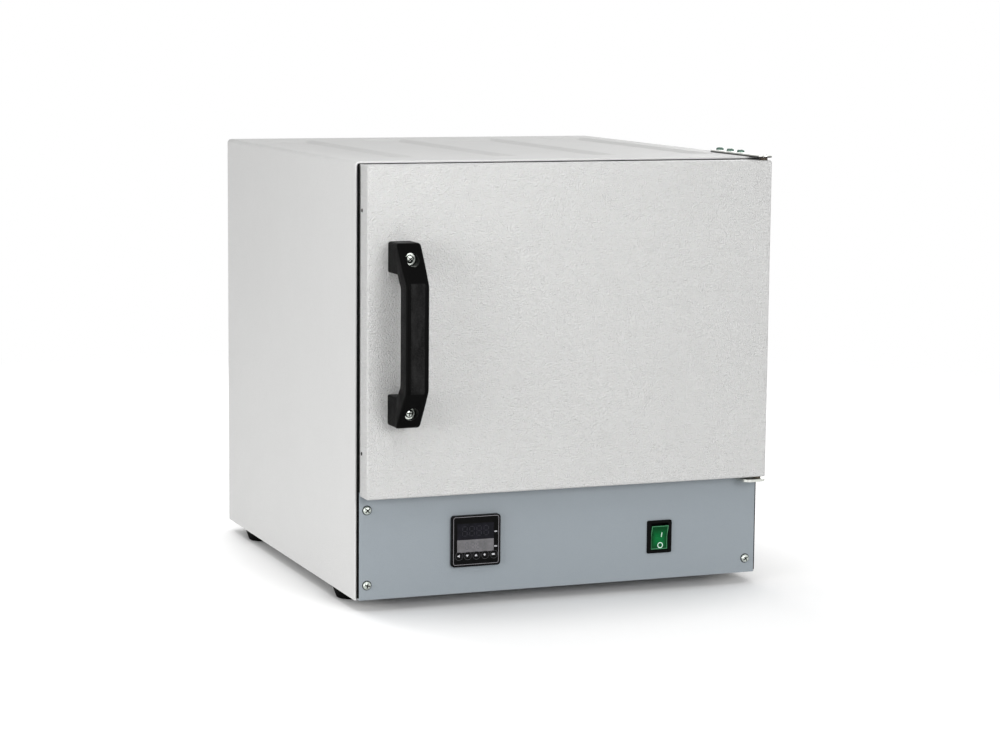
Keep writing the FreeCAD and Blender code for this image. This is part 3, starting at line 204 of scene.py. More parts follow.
# The hinge plate's painted shade: where it turns from dark below to bright above
PLATE_SHADE_SHARE = 0.5
PLATE_SHADE_BLUR = 0.1 * MM

# The span that holds most of a noise's values
MIDDLE = (0.3, 0.7)


# Places and colours

def centre_of(low, high):
    return [(one + other) / 2 for one, other in zip(low, high)]


def grey(value):
    return (value, value, value, 1.0)


def linear(red, green, blue):
    """A colour given as the eye's 0 to 255 numbers, as the shader's linear one."""
    parts = []
    for channel in (red, green, blue):
        share = channel / 255
        parts.append(share / 12.92 if share <= 0.04045 else ((share + 0.055) / 1.055) ** 2.4)
    return (*parts, 1.0)


def scaled(colour, share):
    return (colour[0] * share, colour[1] * share, colour[2] * share, 1.0)


def chalky(colour, share, lift):
    """A paler form of a dark colour, for dust and bloom."""
    return (*(min(1.0, part * share + lift) for part in colour[:3]), 1.0)


# Node tools

class Tree:
    """The nodes of a material or world, with short names for the ones that are used here."""

    def __init__(self, owner, output):
        owner.use_nodes = True
        self.tree = owner.node_tree
        self.tree.nodes.clear()
        self.output = self.node(output)

    def node(self, kind):
        return self.tree.nodes.new(kind)

    def link(self, source, target):
        self.tree.links.new(source, target)

    def fill(self, socket, value):
        """Sets a socket to a number or colour, or links it to another node's output."""
        if isinstance(value, bpy.types.NodeSocket):
            self.link(value, socket)
        else:
            socket.default_value = value

    def ramp(self, value, low, high, start=0.0, end=1.0, kind="LINEAR"):
        """The value spread from one range onto another, and kept inside it."""
        spread = self.node("ShaderNodeMapRange")
        spread.interpolation_type = kind
        self.fill(spread.inputs["Value"], value)
        spread.inputs["From Min"].default_value = low
        spread.inputs["From Max"].default_value = high
        spread.inputs["To Min"].default_value = start
        spread.inputs["To Max"].default_value = end
        return spread.outputs["Result"]

    def math(self, operation, first, second=0.0):
        node = self.node("ShaderNodeMath")
        node.operation = operation
        self.fill(node.inputs[0], first)
        self.fill(node.inputs[1], second)
        return node.outputs["Value"]

    def part(self, value, share):
        return self.math("MULTIPLY", value, share)

    def mix(self, share, first, second):
        mix = self.node("ShaderNodeMix")
        mix.data_type = "RGBA"
        self.fill(mix.inputs["Factor"], share)
        self.fill(mix.inputs["A"], first)
        self.fill(mix.inputs["B"], second)
        return mix.outputs["Result"]

    def seen_rays(self):
        """One for rays from the camera, a reflection or glass, and nought for the rest."""
        paths = self.node("ShaderNodeLightPath").outputs
        total = paths["Is Camera Ray"]
        for name in ("Is Glossy Ray", "Is Transmission Ray"):
            total = self.math("MAXIMUM", total, paths[name])
        return total


class Shader(Tree):
    """A new material with one Principled shader and textures placed by the object's axes."""

    def __init__(self, name):
        self.material = bpy.data.materials.new(name)
        super().__init__(self.material, "ShaderNodeOutputMaterial")
        self.surface = self.node("ShaderNodeBsdfPrincipled")
        self.link(self.surface.outputs["BSDF"], self.output.inputs["Surface"])
        self.place = self.node("ShaderNodeTexCoord").outputs["Object"]

    def stretched(self, scale):
        mapping = self.node("ShaderNodeMapping")
        self.link(self.place, mapping.inputs["Vector"])
        mapping.inputs["Scale"].default_value = scale
        return mapping.outputs["Vector"]

    def noise(self, scale, detail, roughness=0.55, stretch=None):
        noise = self.node("ShaderNodeTexNoise")
        self.link(self.stretched(stretch) if stretch else self.place, noise.inputs["Vector"])
        noise.inputs["Scale"].default_value = scale
        noise.inputs["Detail"].default_value = detail
        noise.inputs["Roughness"].default_value = roughness
        return noise.outputs["Fac"]

    def cloud(self, scale, detail, roughness):
        """Noise spread over the whole way from nought to one."""
        return self.ramp(self.noise(scale, detail, roughness), *MIDDLE)

    def cells(self, scale):
        cells = self.node("ShaderNodeTexVoronoi")
        self.link(self.place, cells.inputs["Vector"])
        cells.inputs["Scale"].default_value = scale
        return cells.outputs["Distance"]

    def axis(self, name):
        split = self.node("ShaderNodeSeparateXYZ")
        self.link(self.place, split.inputs["Vector"])
        return split.outputs[name]

    def colour(self, value):
        self.fill(self.surface.inputs["Base Color"], value)

    def roughness(self, value):
        self.fill(self.surface.inputs["Roughness"], value)

    def uneven_roughness(self, low, high, scale, detail):
        self.roughness(self.ramp(self.noise(scale, detail), *MIDDLE, low, high))

    def constant(self, socket, value):
        self.surface.inputs[socket].default_value = value

    def bump(self, height, strength, distance):
        """Relief on the surface, on top of any that it has already."""
        bump = self.node("ShaderNodeBump")
        bump.inputs["Strength"].default_value = strength
        bump.inputs["Distance"].default_value = distance
        self.link(height, bump.inputs["Height"])
        normal = self.surface.inputs["Normal"]
        if normal.is_linked:
            self.link(normal.links[0].from_socket, bump.inputs["Normal"])
        self.link(bump.outputs["Normal"], normal)


# Finishes. A noise has its scale, detail and roughness. A ramp has the range that it takes,
# and after it the range that it gives, if that isn't nought to one.

def powder_coat(name, colour, grain_scale, grain_strength, roughness, gloss):
    """Baked powder paint: a fine orange-peel skin, faint speckle and a few rubbed marks."""
    shader = Shader(name)
    drift = shader.ramp(shader.noise(7.0, 2.0), 0.35, 0.65)
    speckle = shader.ramp(shader.noise(grain_scale * 1.3, 2.0, 0.6), 0.42, 0.70)
    rubbed = shader.ramp(shader.noise(38.0, 6.0, 0.75, stretch=(1.0, 1.0, 0.35)), 0.70, 0.80)
    base = shader.mix(drift, scaled(colour, 0.985), colour)
    base = shader.mix(shader.part(speckle, 0.5), base, scaled(colour, 0.93))
    shader.colour(shader.mix(shader.part(rubbed, 0.25), base, scaled(colour, 0.88)))
    shine = shader.ramp(shader.noise(55.0, 4.0), *MIDDLE, roughness - 0.05, roughness + 0.06)
    shader.roughness(shader.math("ADD", shine, shader.part(rubbed, -0.06)))
    shader.constant("Specular IOR Level", gloss)
    shader.bump(shader.noise(grain_scale * 0.16, 2.0), strength=0.10, distance=2.0 * MM)
    shader.bump(shader.noise(grain_scale, 2.0, 0.6), grain_strength, distance=2.2 * MM)
    return shader.material


def zinc(name, colour, tint, roughness, grain):
    """Plated metal: cloudy spangle, a fine drawn grain and a faint passivation tint."""
    shader = Shader(name)
    patch = shader.ramp(shader.cells(240.0), 0.1, 0.8)
    base = shader.mix(shader.cloud(120.0, 4.0, 0.6), colour, tint)
    shader.colour(shader.mix(shader.part(patch, 0.35), base, scaled(colour, 0.8)))
    streak = shader.noise(260.0, 3.0, 0.6, stretch=grain)
    shader.roughness(shader.ramp(streak, *MIDDLE, roughness - 0.07, roughness + 0.1))
    shader.constant("Metallic", 1.0)
    shader.bump(streak, strength=0.12, distance=0.4 * MM)
    return shader.material


def steel(name, colour, roughness, grain, stain):
    """Bare steel with a brushed grain along one axis and soft stains."""
    shader = Shader(name)
    streak = shader.noise(300.0, 5.0, 0.65, stretch=grain)
    stained = shader.ramp(shader.noise(14.0, 5.0, 0.6), 0.4, 0.75)
    base = shader.mix(shader.ramp(streak, *MIDDLE), scaled(colour, 0.88), colour)
    shader.colour(shader.mix(shader.part(stained, 0.5), base, scaled(colour, stain)))
    shader.roughness(shader.ramp(streak, 0.25, 0.75, roughness - 0.08, roughness + 0.12))
    shader.constant("Metallic", 1.0)
    shader.bump(streak, strength=0.10, distance=0.3 * MM)
    return shader.material


def plastic(name, colour, roughness, grain_scale, grain_strength, gloss):
    """Moulded plastic: spark-eroded grain, slight flow marks and a little pale dust."""
    shader = Shader(name)
    flow = shader.ramp(shader.noise(45.0, 3.0, 0.5), 0.35, 0.7)
    dust = shader.ramp(shader.noise(900.0, 2.0, 0.7), 0.60, 0.78)
    base = shader.mix(flow, scaled(colour, 0.85), colour)
    shader.colour(shader.mix(shader.part(dust, 0.5), base, chalky(colour, 1.6, 0.006)))
    shader.uneven_roughness(roughness - 0.06, roughness + 0.08, 80.0, 4.0)
    shader.constant("Specular IOR Level", gloss)
    shader.bump(shader.noise(grain_scale, 2.0, 0.6), grain_strength, distance=0.6 * MM)
    return shader.material


def grip_with_painted_sheen(name, dark, pale):
    """Grained plastic where hands hold it: dark, with long soft glossier patches painted paler as
    sheen.
    """
    shader = Shader(name)
    patch = shader.ramp(shader.noise(75.0, 4.0, 0.6, stretch=(1.6, 1.0, 0.5)), 0.40, 0.72)
    grain = shader.noise(1000.0, 2.0, 0.6)
    tips = shader.ramp(grain, 0.45, 0.75, 0.0, 0.5)
    # Painted sheen: the soft patches are mixed towards the paler grey
    shader.colour(shader.mix(tips, shader.mix(patch, dark, pale), scaled(pale, 1.5)))
    shader.roughness(shader.ramp(patch, 0.0, 1.0, 0.56, 0.40))
    shader.constant("Specular IOR Level", 0.06)
    shader.bump(grain, strength=0.8, distance=0.6 * MM)
    return shader.material


def rocker_with_painted_shade(name, colour, node):
    """Green rocker plastic with painted shade: clear in the middle, and darker towards its walls
    and its top.
    """
    low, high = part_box(node)
    centre = centre_of(low, high)
    shader = Shader(name)
    walls = []
    for axis, place, half in (("X", centre[0], ROCKER_FACE_HALF), ("Z", centre[2], ROCKER_HALF)):
        off = shader.math("ABSOLUTE", shader.math("SUBTRACT", shader.axis(axis), place))
        walls.append(shader.ramp(off, half * LENS_SHADE_START, half))
    top_from, top_to = (centre[2] + ROCKER_HALF * share for share in LENS_TOP_SHARES)
    top = shader.ramp(shader.axis("Z"), top_from, top_to, 0.0, LENS_TOP_SHADE)
    # Painted shade: the darker of the walls' and the top's shade darkens the green
    lens_painted_shade = shader.math("MAXIMUM", shader.math("MAXIMUM", *walls), top)
    base = shader.mix(shader.cloud(300.0, 4.0, 0.6), scaled(colour, 0.85), colour)
    shader.colour(shader.mix(lens_painted_shade, base, scaled(colour, LENS_SHADE_LEVEL)))
    shader.uneven_roughness(0.18, 0.30, 80.0, 4.0)
    shader.constant("Specular IOR Level", 0.10)
    shader.bump(shader.noise(500.0, 2.0, 0.6), strength=0.03, distance=0.6 * MM)
    return shader.material


def display_window(name, split_z):
    """A smoked window: dark over the upper row of digits, and greyer over the lower one, where a
    reflection is painted in.
    """
    shader = Shader(name)
    lower = shader.ramp(shader.axis("Z"), split_z - DISPLAY_BLUR, split_z + DISPLAY_BLUR, 1.0, 0.0)
    cloud = shader.cloud(130.0, 4.0, 0.6)
    dark = shader.mix(cloud, linear(16, 17, 20), linear(28, 27, 34))
    pale = shader.mix(cloud, linear(98, 98, 98), linear(120, 118, 122))
    # Painted reflection: the lower part of the window is the paler grey
    shader.colour(shader.mix(lower, dark, pale))
    shader.uneven_roughness(0.16, 0.26, 90.0, 3.0)
    shader.constant("Specular IOR Level", 0.07)
    shader.bump(shader.noise(260.0, 2.0), strength=0.02, distance=0.4 * MM)
    return shader.material


def rubber(name, colour, roughness, gloss):
    """Moulded rubber: a dull grain, chalky bloom and small pits."""
    shader = Shader(name)
    bloom = shader.ramp(shader.noise(70.0, 5.0, 0.65), 0.45, 0.8)
    shader.colour(shader.mix(shader.part(bloom, 0.6), colour, chalky(colour, 1.8, 0.002)))
    shader.constant("Specular IOR Level", gloss)
    shader.uneven_roughness(roughness - 0.08, roughness + 0.1, 160.0, 3.0)
    shader.bump(shader.noise(1400.0, 2.0, 0.6), strength=0.25, distance=0.4 * MM)
    shader.bump(shader.cells(700.0), strength=0.08, distance=0.4 * MM)
    return shader.material


def mineral_wool(name, colour):
    """Matted fibres, darker where the clump noise raises them."""
    shader = Shader(name)
    fibre = shader.noise(420.0, 6.0, 0.75, stretch=(1.0, 0.25, 3.0))
    clump = shader.noise(60.0, 4.0, 0.6)
    base = shader.mix(shader.ramp(fibre, *MIDDLE), scaled(colour, 0.6), colour)
    shader.colour(shader.mix(shader.ramp(clump, 0.4, 0.8), base, scaled(colour, 0.75)))
    shader.roughness(0.95)
    shader.constant("Sheen Weight", 0.3)
    shader.bump(clump, strength=0.6, distance=3.0 * MM)
    shader.bump(fibre, strength=0.7, distance=1.0 * MM)
    return shader.material


def plate_with_painted_shade(name, node):
    """A plated sheet painted dark over its lower half as the shadow under it, and bright above."""
    low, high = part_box(node)
    shader = Shader(name)
    shade_top = low[2] + (high[2] - low[2]) * PLATE_SHADE_SHARE
    share = shader.ramp(shader.axis("Z"), shade_top - PLATE_SHADE_BLUR, shade_top + PLATE_SHADE_BLUR)
    dark = shader.mix(shader.cloud(900.0, 3.0, 0.6), linear(34, 33, 34), linear(66, 64, 62))
    bright = shader.mix(shader.cloud(140.0, 4.0, 0.6), linear(226, 227, 224),
                        linear(206, 208, 202))
    # Painted shade: dark below the line, the plate's bright metal above it
    shader.colour(shader.mix(share, dark, bright))
    shader.uneven_roughness(0.28, 0.46, 260.0, 3.0)
    shader.constant("Metallic", 1.0)
    shader.bump(shader.noise(700.0, 2.0), strength=0.15, distance=0.3 * MM)
    return shader.material


# Colour, grain's scale, grain's strength, roughness, gloss
PAINTS = {
    "case_paint": (linear(218, 218, 217), 760.0, 0.20, 0.50, 0.05),
    "door_paint": (linear(217, 217, 216), 660.0, 1.2, 0.42, 0.5),
    "panel_paint": (linear(140, 148, 154), 900.0, 0.14, 0.44, 0.5),
}

# Colour, tint, roughness, stretch of the grain
PLATINGS = {
    "zinc_sheet": (linear(196, 198, 200), linear(176, 180, 184), 0.34, (1.0, 1.0, 14.0)),
    "zinc_screw": (linear(206, 210, 205), linear(186, 196, 186), 0.24, (1.0, 1.0, 1.0)),
    "hinge_screw": (linear(104, 126, 116), linear(62, 86, 76), 0.3, (1.0, 1.0, 1.0)),
    "hinge_steel": (linear(206, 207, 203), linear(190, 194, 184), 0.30, (1.0, 8.0, 1.0)),
    "bush_bronze": (linear(92, 84, 74), linear(70, 64, 58), 0.5, (1.0, 1.0, 14.0)),
    "contact_brass": (linear(206, 176, 106), linear(190, 158, 92), 0.26, (1.0, 1.0, 14.0)),
}

# Colour, roughness, stretch of the grain, darkness of the stains
STEELS = {
    "pin_steel": (linear(196, 196, 196), 0.26, (1.0, 1.0, 9.0), 0.9),
    "stainless": (linear(198, 199, 198), 0.30, (1.0, 10.0, 10.0), 0.9),
    "heater_steel": (linear(112, 100, 92), 0.42, (1.0, 1.0, 1.0), 0.6),
    "probe_steel": (linear(190, 190, 190), 0.22, (1.0, 1.0, 1.0), 0.9),
}

# Colour, roughness, grain's scale, grain's strength, gloss
PLASTICS = {
    "dark_screw": (grey(0.012), 0.4, 900.0, 0.2, 0.15),
    "handle_black": (grey(0.002), 0.34, 1300.0, 0.30, 0.025),
    "catch_black": (grey(0.02), 0.5, 1200.0, 0.25, 0.5),
    "controller_black": (grey(0.002), 0.34, 1500.0, 0.15, 0.05),
    "key_grey": (grey(0.005), 0.5, 1400.0, 0.25, 0.10),
    "switch_black": (grey(0.002), 0.34, 1200.0, 0.12, 0.05),
    "electrics_black": (grey(0.03), 0.5, 1100.0, 0.25, 0.5),
    "thermostat_cream": (linear(222, 212, 188), 0.45, 1000.0, 0.2, 0.5),
    "inlet_black": (grey(0.014), 0.42, 1200.0, 0.25, 0.5),
    "indicator_grey": (linear(176, 176, 180), 0.4, 900.0, 0.2, 0.2),
    # Grey painted on the bezel's front edge as its highlight
    "edge_grey": (linear(138, 136, 140), 0.4, 900.0, 0.2, 0.2),
    # Lighter green painted round the rocker's faces as their edges' highlight
    "rim_green": (linear(74, 140, 100), 0.3, 700.0, 0.05, 0.2),
    # Near-black painted shade for the screws' cross recesses and the shadow rings round their
    # seats
    "recess_dark": (grey(0.006), 0.6, 900.0, 0.3, 0.1),
    "key_print": (linear(208, 208, 212), 0.5, 900.0, 0.2, 0.2),
    "ring_grey": (linear(62, 62, 64), 0.5, 900.0, 0.2, 0.2),
    "segment_dark": (linear(34, 34, 40), 0.3, 900.0, 0.1, 0.1),
    "segment_grey": (linear(90, 90, 94), 0.4, 900.0, 0.1, 0.3),
    "print_white": (linear(226, 255, 242), 0.5, 900.0, 0.2, 0.2),
}

# Colour, roughness, gloss
RUBBERS = {
    "seal_black": (grey(0.001), 0.7, 0.04),
    "silicone": (linear(150, 58, 44), 0.55, 0.25),
    "foot_rubber": (grey(0.002), 0.75, 0.05),
}

FINISHES = {
    "wool": mineral_wool("wool", linear(214, 200, 150)),
    "controller_glass": display_window("controller_glass", DISPLAY_SPLIT_Z),
    "rocker_green": rocker_with_painted_shade("rocker_green", linear(3, 106, 52), "switch_rocker"),
    "handle_grain": grip_with_painted_sheen("handle_grain", grey(0.003), grey(0.016)),
    "plate_with_painted_shade": plate_with_painted_shade("plate_with_painted_shade", "top_hinge_plate"),
}
for make, table in ((powder_coat, PAINTS), (zinc, PLATINGS), (steel, STEELS),
                    (plastic, PLASTICS), (rubber, RUBBERS)):
    for finish_name, settings in table.items():
        FINISHES[finish_name] = make(finish_name, *settings)


def dress_nodes():
    """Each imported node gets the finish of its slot, and the hinge plate its own."""
    for subpart in frame["record"]["subparts"]:
        node = nodes[subpart["node"]]
        finish = FINISHES[subpart["material_slot"]]
        for slot in node.material_slots:
            slot.material = finish
        if not node.material_slots:
            node.data.materials.append(finish)
    # The hinge plate gets its own finish, with painted shade on its lower half
    for slot in nodes["top_hinge_plate"].material_slots:
        slot.material = FINISHES["plate_with_painted_shade"]


# Mesh tools

def new_piece(name, mesh, body, slot, *finishes):
    """A mesh as an object with its finishes, riding on a body of the frame."""
    for finish in finishes:
        mesh.materials.append(FINISHES[finish])
    piece = bpy.data.objects.new(name, mesh)
    scene.collection.objects.link(piece)
    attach(piece, body)
    return piece


def smooth(mesh, degrees):
    mesh.shade_smooth()
    mesh.set_sharp_from_angle(angle=math.radians(degrees))


def to_mesh(name, build):
    """A mesh from a bmesh, once it has been cleaned up."""
    bmesh.ops.remove_doubles(build, verts=build.verts, dist=WELD)
    bmesh.ops.recalc_face_normals(build, faces=build.faces)
    mesh = bpy.data.meshes.new(name)
    build.to_mesh(mesh)
    build.free()
    return mesh


def wrap(build, first, second, material=0):
    """Faces all the way round between two rings with as many vertices."""
    count = len(first)
    for index in range(count):
        after = (index + 1) % count
        face = build.faces.new((first[index], second[index], second[after], first[after]))
        face.material_index = material


def add_prism(build, points, depth):
    """A flat outline in X and Z with its thickness along -Y, as (x, y, z) points at its back."""
    back = [build.verts.new(point) for point in points]
    front = [build.verts.new((x, y - depth, z)) for x, y, z in points]
    build.faces.new(back)
    build.faces.new(list(reversed(front)))
    wrap(build, back, front)


def add_band(build, outer, inner, depth):
    """A closed band between two outlines with as many points, with its thickness along -Y."""
    levels = []
    for outline in (outer, inner):
        levels.append([build.verts.new(point) for point in outline])
        levels.append([build.verts.new((x, y - depth, z)) for x, y, z in outline])
    outer_back, outer_front, inner_back, inner_front = levels
    for first, second in ((outer_back, outer_front), (outer_front, inner_front),
                          (inner_front, inner_back), (inner_back, outer_back)):
        wrap(build, first, second)


def add_lathe(build, profile, sides, material=0):
    """A turned form about Z through (radius, height) points, closed at both of its ends."""
    rings = []
    for radius, height in profile:
        points = circle_points(radius, sides)
        rings.append([build.verts.new((x, z, height)) for x, _, z in points])
    for first, second in zip(rings, rings[1:]):
        wrap(build, first, second, material)
    for ring in (rings[0], rings[-1]):
        build.faces.new(ring).material_index = material


def circle_points(radius, count, x=0.0, y=0.0, z=0.0):
    turn = 2 * math.pi / count
    return [(x + radius * math.cos(turn * step), y, z + radius * math.sin(turn * step))
            for step in range(count)]


def rectangle(low_x, high_x, low_z, high_z, y=0.0):
    return [(low_x, y, low_z), (high_x, y, low_z), (high_x, y, high_z), (low_x, y, high_z)]


def rounded_square(half, corner, x, y, z):
    points = []
    for quarter in range(4):
        turn = math.radians(90 * quarter)
        cos, sin = round(math.cos(turn)), round(math.sin(turn))
        centre = (half - corner) * (cos - sin), (half - corner) * (sin + cos)
        for step in range(CORNER_STEPS + 1):
            angle = turn + math.radians(90 * step / CORNER_STEPS)
            points.append((x + centre[0] + corner * math.cos(angle), y,
                           z + centre[1] + corner * math.sin(angle)))
    return points


def carve(piece, cutter):
    """Cuts one object out of another for good, and removes the cutter."""
    cut = piece.modifiers.new("cut", "BOOLEAN")
    cut.operation = "DIFFERENCE"
    cut.solver = "EXACT"
    cut.object = cutter
    bpy.context.view_layer.update()
    graph = bpy.context.evaluated_depsgraph_get()
    carved = bpy.data.meshes.new_from_object(piece.evaluated_get(graph))
    piece.modifiers.clear()
    piece.data = carved
    bpy.data.objects.remove(cutter)


# Handle

def rounded_path(points, radii):
    """A line through the points with its inner corners rounded, with set numbers of steps."""
    corners = []
    for index, radius in enumerate(radii, start=1):
        corner = points[index]
        before = (points[index - 1] - corner).normalized()
        after = (points[index + 1] - corner).normalized()
        half_angle = before.angle(after) / 2
        reach = radius / math.tan(half_angle)
        centre = corner + (before + after).normalized() * (radius / math.sin(half_angle))
        first, last = corner + before * reach - centre, corner + after * reach - centre
        spread = first.angle_signed(last)
        arc = []
        for step in range(HANDLE_ARC_STEPS + 1):
            turn = -spread * step / HANDLE_ARC_STEPS
            cos, sin = math.cos(turn), math.sin(turn)
            spoke = Vector((first.x * cos - first.y * sin, first.x * sin + first.y * cos))
            arc.append(centre + spoke)
        corners.append(arc)
    path = [points[0]]
    for arc, steps in zip(corners + [[points[-1]]], HANDLE_LINE_STEPS):
        origin = path[-1]
        path += [origin.lerp(arc[0], step / steps) for step in range(1, steps)]
        path += arc
    return path


def handle_paths(length):
    """The handle's outer and inner line, as reach from the door and rise from its foot."""
    paths = []
    for half, rounds in ((HANDLE_OUTER, HANDLE_OUTER_ROUNDS), (HANDLE_INNER, HANDLE_INNER_ROUNDS)):
        points = [Vector(point) * MM for point in half]
        points += [Vector((point.x, length - point.y)) for point in reversed(points)]
        radii = [radius * MM for radius in rounds]
        paths.append(rounded_path(points, radii + radii[::-1]))
    return paths


def eased(value, start, end):
    """Nought before the start and one after the end, with a smooth rise between."""
    share = min(1.0, max(0.0, (value - start) / (end - start)))
    return share * share * (3 - 2 * share)


def handle_ring(half, thickness, inset):
    """The handle's section: (across, up from the back) points, with a shallow inset in front."""
    ring = []
    for centre_x, centre_t, radius, start in (
            (half - HANDLE_BACK_ROUND, HANDLE_BACK_ROUND, HANDLE_BACK_ROUND, -90),
            (half - HANDLE_FRONT_ROUND, thickness - HANDLE_FRONT_ROUND, HANDLE_FRONT_ROUND, 0)):
        for step in range(HANDLE_ROUND_STEPS + 1):
            turn = math.radians(start + 90 * step / HANDLE_ROUND_STEPS)
            ring.append((centre_x + radius * math.cos(turn), centre_t + radius * math.sin(turn)))
    edge = half - HANDLE_FRONT_ROUND - INSET_MARGIN
    for inward, drop in ((0.0, 0.0), (INSET_SLOPE, inset), (INSET_FLAT, inset)):
        ring.append((edge - inward, thickness - drop))
    return ring + [(-x, t) for x, t in reversed(ring)]


def handle_rings(build, low, high):
    """The handle's sections from its lower foot to its upper one, as rings of vertices."""
    centre_x, foot_y, foot_z = (low[0] + high[0]) / 2, high[1], low[2]
    length = high[2] - low[2]
    grip_from, grip_to = HANDLE_INNER[0][1] * MM, HANDLE_OUTER[2][1] * MM
    rings = []
    for out, back in zip(*handle_paths(length)):
        along = min((out.y + back.y) / 2, length - (out.y + back.y) / 2)
        share = eased(along, grip_from, grip_to)
        half = HANDLE_FOOT_HALF + (HANDLE_GRIP_HALF - HANDLE_FOOT_HALF) * share
        inset = INSET_DEPTH * eased(along, INSET_END, INSET_END + INSET_RAMP)
        span = out - back
        outward = span.normalized()
        ring = []
        for across, height in handle_ring(half, span.length, inset):
            spot = back + outward * height
            ring.append(build.verts.new((centre_x + across, foot_y - spot.x, foot_z + spot.y)))
        rings.append(ring)
    return rings


def handle_mesh(low, high):
    """The handle's skin, with its second finish on the inset grip."""
    build = bmesh.new()
    rings = handle_rings(build, low, high)
    grain_from = 2 * (HANDLE_ROUND_STEPS + 1) + 1
    count = len(rings[0])
    for first, second in zip(rings, rings[1:]):
        rise = min(first[0].co.z - low[2], high[2] - second[0].co.z)
        for index in range(count):
            after = (index + 1) % count
            face = build.faces.new((first[index], first[after], second[after], second[index]))
            if grain_from <= index < count - grain_from - 1 and rise > INSET_END:
                face.material_index = 1
    build.faces.new(rings[0])
    build.faces.new(list(reversed(rings[-1])))
    return to_mesh("door_handle_grip", build)


def cut_recesses(piece, low, high):
    """Counterbores for the heads of the handle's two screws."""
    build = bmesh.new()
    for z in (low[2] + HANDLE_SCREW_RISE, high[2] - HANDLE_SCREW_RISE):
        rim = circle_points(HANDLE_RECESS_RADIUS, HANDLE_RECESS_SIDES,
                            (low[0] + high[0]) / 2, high[1] - HANDLE_RECESS_REACH, z)
        add_prism(build, rim, high[1] - low[1])
    cutter = bpy.data.objects.new("recess_cutter", to_mesh("recess_cutter", build))
    scene.collection.objects.link(cutter)
    carve(piece, cutter)


def build_handle():
    """A bridge handle moulded in one piece, with counterbored screws and an inset grip."""
    low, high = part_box("door_handle")
    piece = new_piece("door_handle_grip", handle_mesh(low, high), "door", "handle_black",
                      "handle_black", "handle_grain")
    cut_recesses(piece, low, high)
    smooth(piece.data, HANDLE_SMOOTH_ANGLE)
    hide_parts("door_handle")


# Controller

def segment_outline(name, width, height, thick):
    """One bar of a seven-segment digit, as a six-sided outline about the digit's centre."""
    half_w, half_h, half_t = width / 2, height / 2, thick / 2
    level = {"a": half_h, "d": -half_h, "g": 0.0}
    if name in level:
        z, reach = level[name], half_w - half_t * SEGMENT_END
        return [(-reach, z), (-reach + half_t, z + half_t), (reach - half_t, z + half_t),
                (reach, z), (reach - half_t, z - half_t), (-reach + half_t, z - half_t)]
    x = half_w if name in ("b", "c") else -half_w
    low, high = (0.0, half_h) if name in ("b", "f") else (-half_h, 0.0)
    low, high = low + half_t * SEGMENT_END, high - half_t * SEGMENT_END
    return [(x, low), (x + half_t, low + half_t), (x + half_t, high - half_t),
            (x, high), (x - half_t, high - half_t), (x - half_t, low + half_t)]


def build_digits():
    """The unlit segments that just show behind the display's window."""
    low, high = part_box("controller_window")
    centre_x, front, height = (low[0] + high[0]) / 2, low[1], high[2] - low[2]
    for name, (width, tall, thick), pitch, row_share, finish in DIGIT_ROWS:
        row_z = low[2] + height * row_share
        build = bmesh.new()
        for number in range(DIGIT_COUNT):
            digit_x = centre_x + (number - (DIGIT_COUNT - 1) / 2) * pitch * MM
            for segment in DIGIT_SEGMENTS:
                outline = segment_outline(segment, width, tall, thick)
                points = [(digit_x + x * MM, front, row_z + z * MM) for x, z in outline]
                add_prism(build, points, DIGIT_LIFT)
        new_piece(name, to_mesh(name, build), "case", "controller_glass", finish)


def build_bezel_details():
    """A grey line painted round the bezel's front as its edge's highlight, and the two ticks
    beside its display.
    """
    low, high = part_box("controller_bezel")
    width = high[0] - low[0]
    x, y, z = centre_of(low, high)
    x, y, z = x + HIGHLIGHT_LINE_SHIFT[0], low[1], z + HIGHLIGHT_LINE_SHIFT[1]
    half = width / 2 - HIGHLIGHT_LINE_INSET
    # The painted highlight line round the bezel's front
    build = bmesh.new()
    add_band(build, rounded_square(half, CORNER_ROUND, x, y, z),
             rounded_square(half - HIGHLIGHT_LINE_WIDTH, CORNER_ROUND - HIGHLIGHT_LINE_WIDTH, x, y, z),
             MARK_DEPTH)
    new_piece("bezel_painted_highlight", to_mesh("bezel_painted_highlight", build), "case",
              "controller_black", "edge_grey")
    build = bmesh.new()
    mark_x = low[0] + width * INDICATOR_X_SHARE
    wide, tall = INDICATOR_HALF
    for share in INDICATOR_SHARES:
        mark_z = high[2] - width * share
        corners = rectangle(mark_x - wide, mark_x + wide, mark_z - tall, mark_z + tall, y)
        add_prism(build, corners, MARK_DEPTH)
    new_piece("indicator_marks", to_mesh("indicator_marks", build), "case",
              "controller_black", "indicator_grey")


def build_key_rings():
    """A fine raised ring on the bezel round each key."""
    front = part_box("controller_bezel")[0][1]
    build = bmesh.new()
    for number in range(1, len(KEY_ICONS) + 1):
        low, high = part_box(f"controller_key_{number}")
        x, _, z = centre_of(low, high)
        add_band(build, circle_points(KEY_RING_RADIUS, KEY_RING_SIDES, x, front, z),
                 circle_points(KEY_RING_RADIUS - KEY_RING_WIDTH, KEY_RING_SIDES, x, front, z),
                 MARK_DEPTH)
    new_piece("key_rings", to_mesh("key_rings", build), "case", "controller_black", "ring_grey")


def build_key_icons():
    """A small printed sign on each key of the controller."""
    for number, icon in enumerate(KEY_ICONS, start=1):
        low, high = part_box(f"controller_key_{number}")
        x, _, z = centre_of(low, high)
        x, z = x + KEY_ICON_SHIFT[0], z + KEY_ICON_SHIFT[1]
        build = bmesh.new()
        add_prism(build, [(x + dx * MM, low[1], z + dz * MM) for dx, dz in icon], MARK_DEPTH)
        new_piece(f"key_icon_{number}", to_mesh(f"key_icon_{number}", build), f"key_{number}",
                  "key_grey", "key_print")


# Rocker

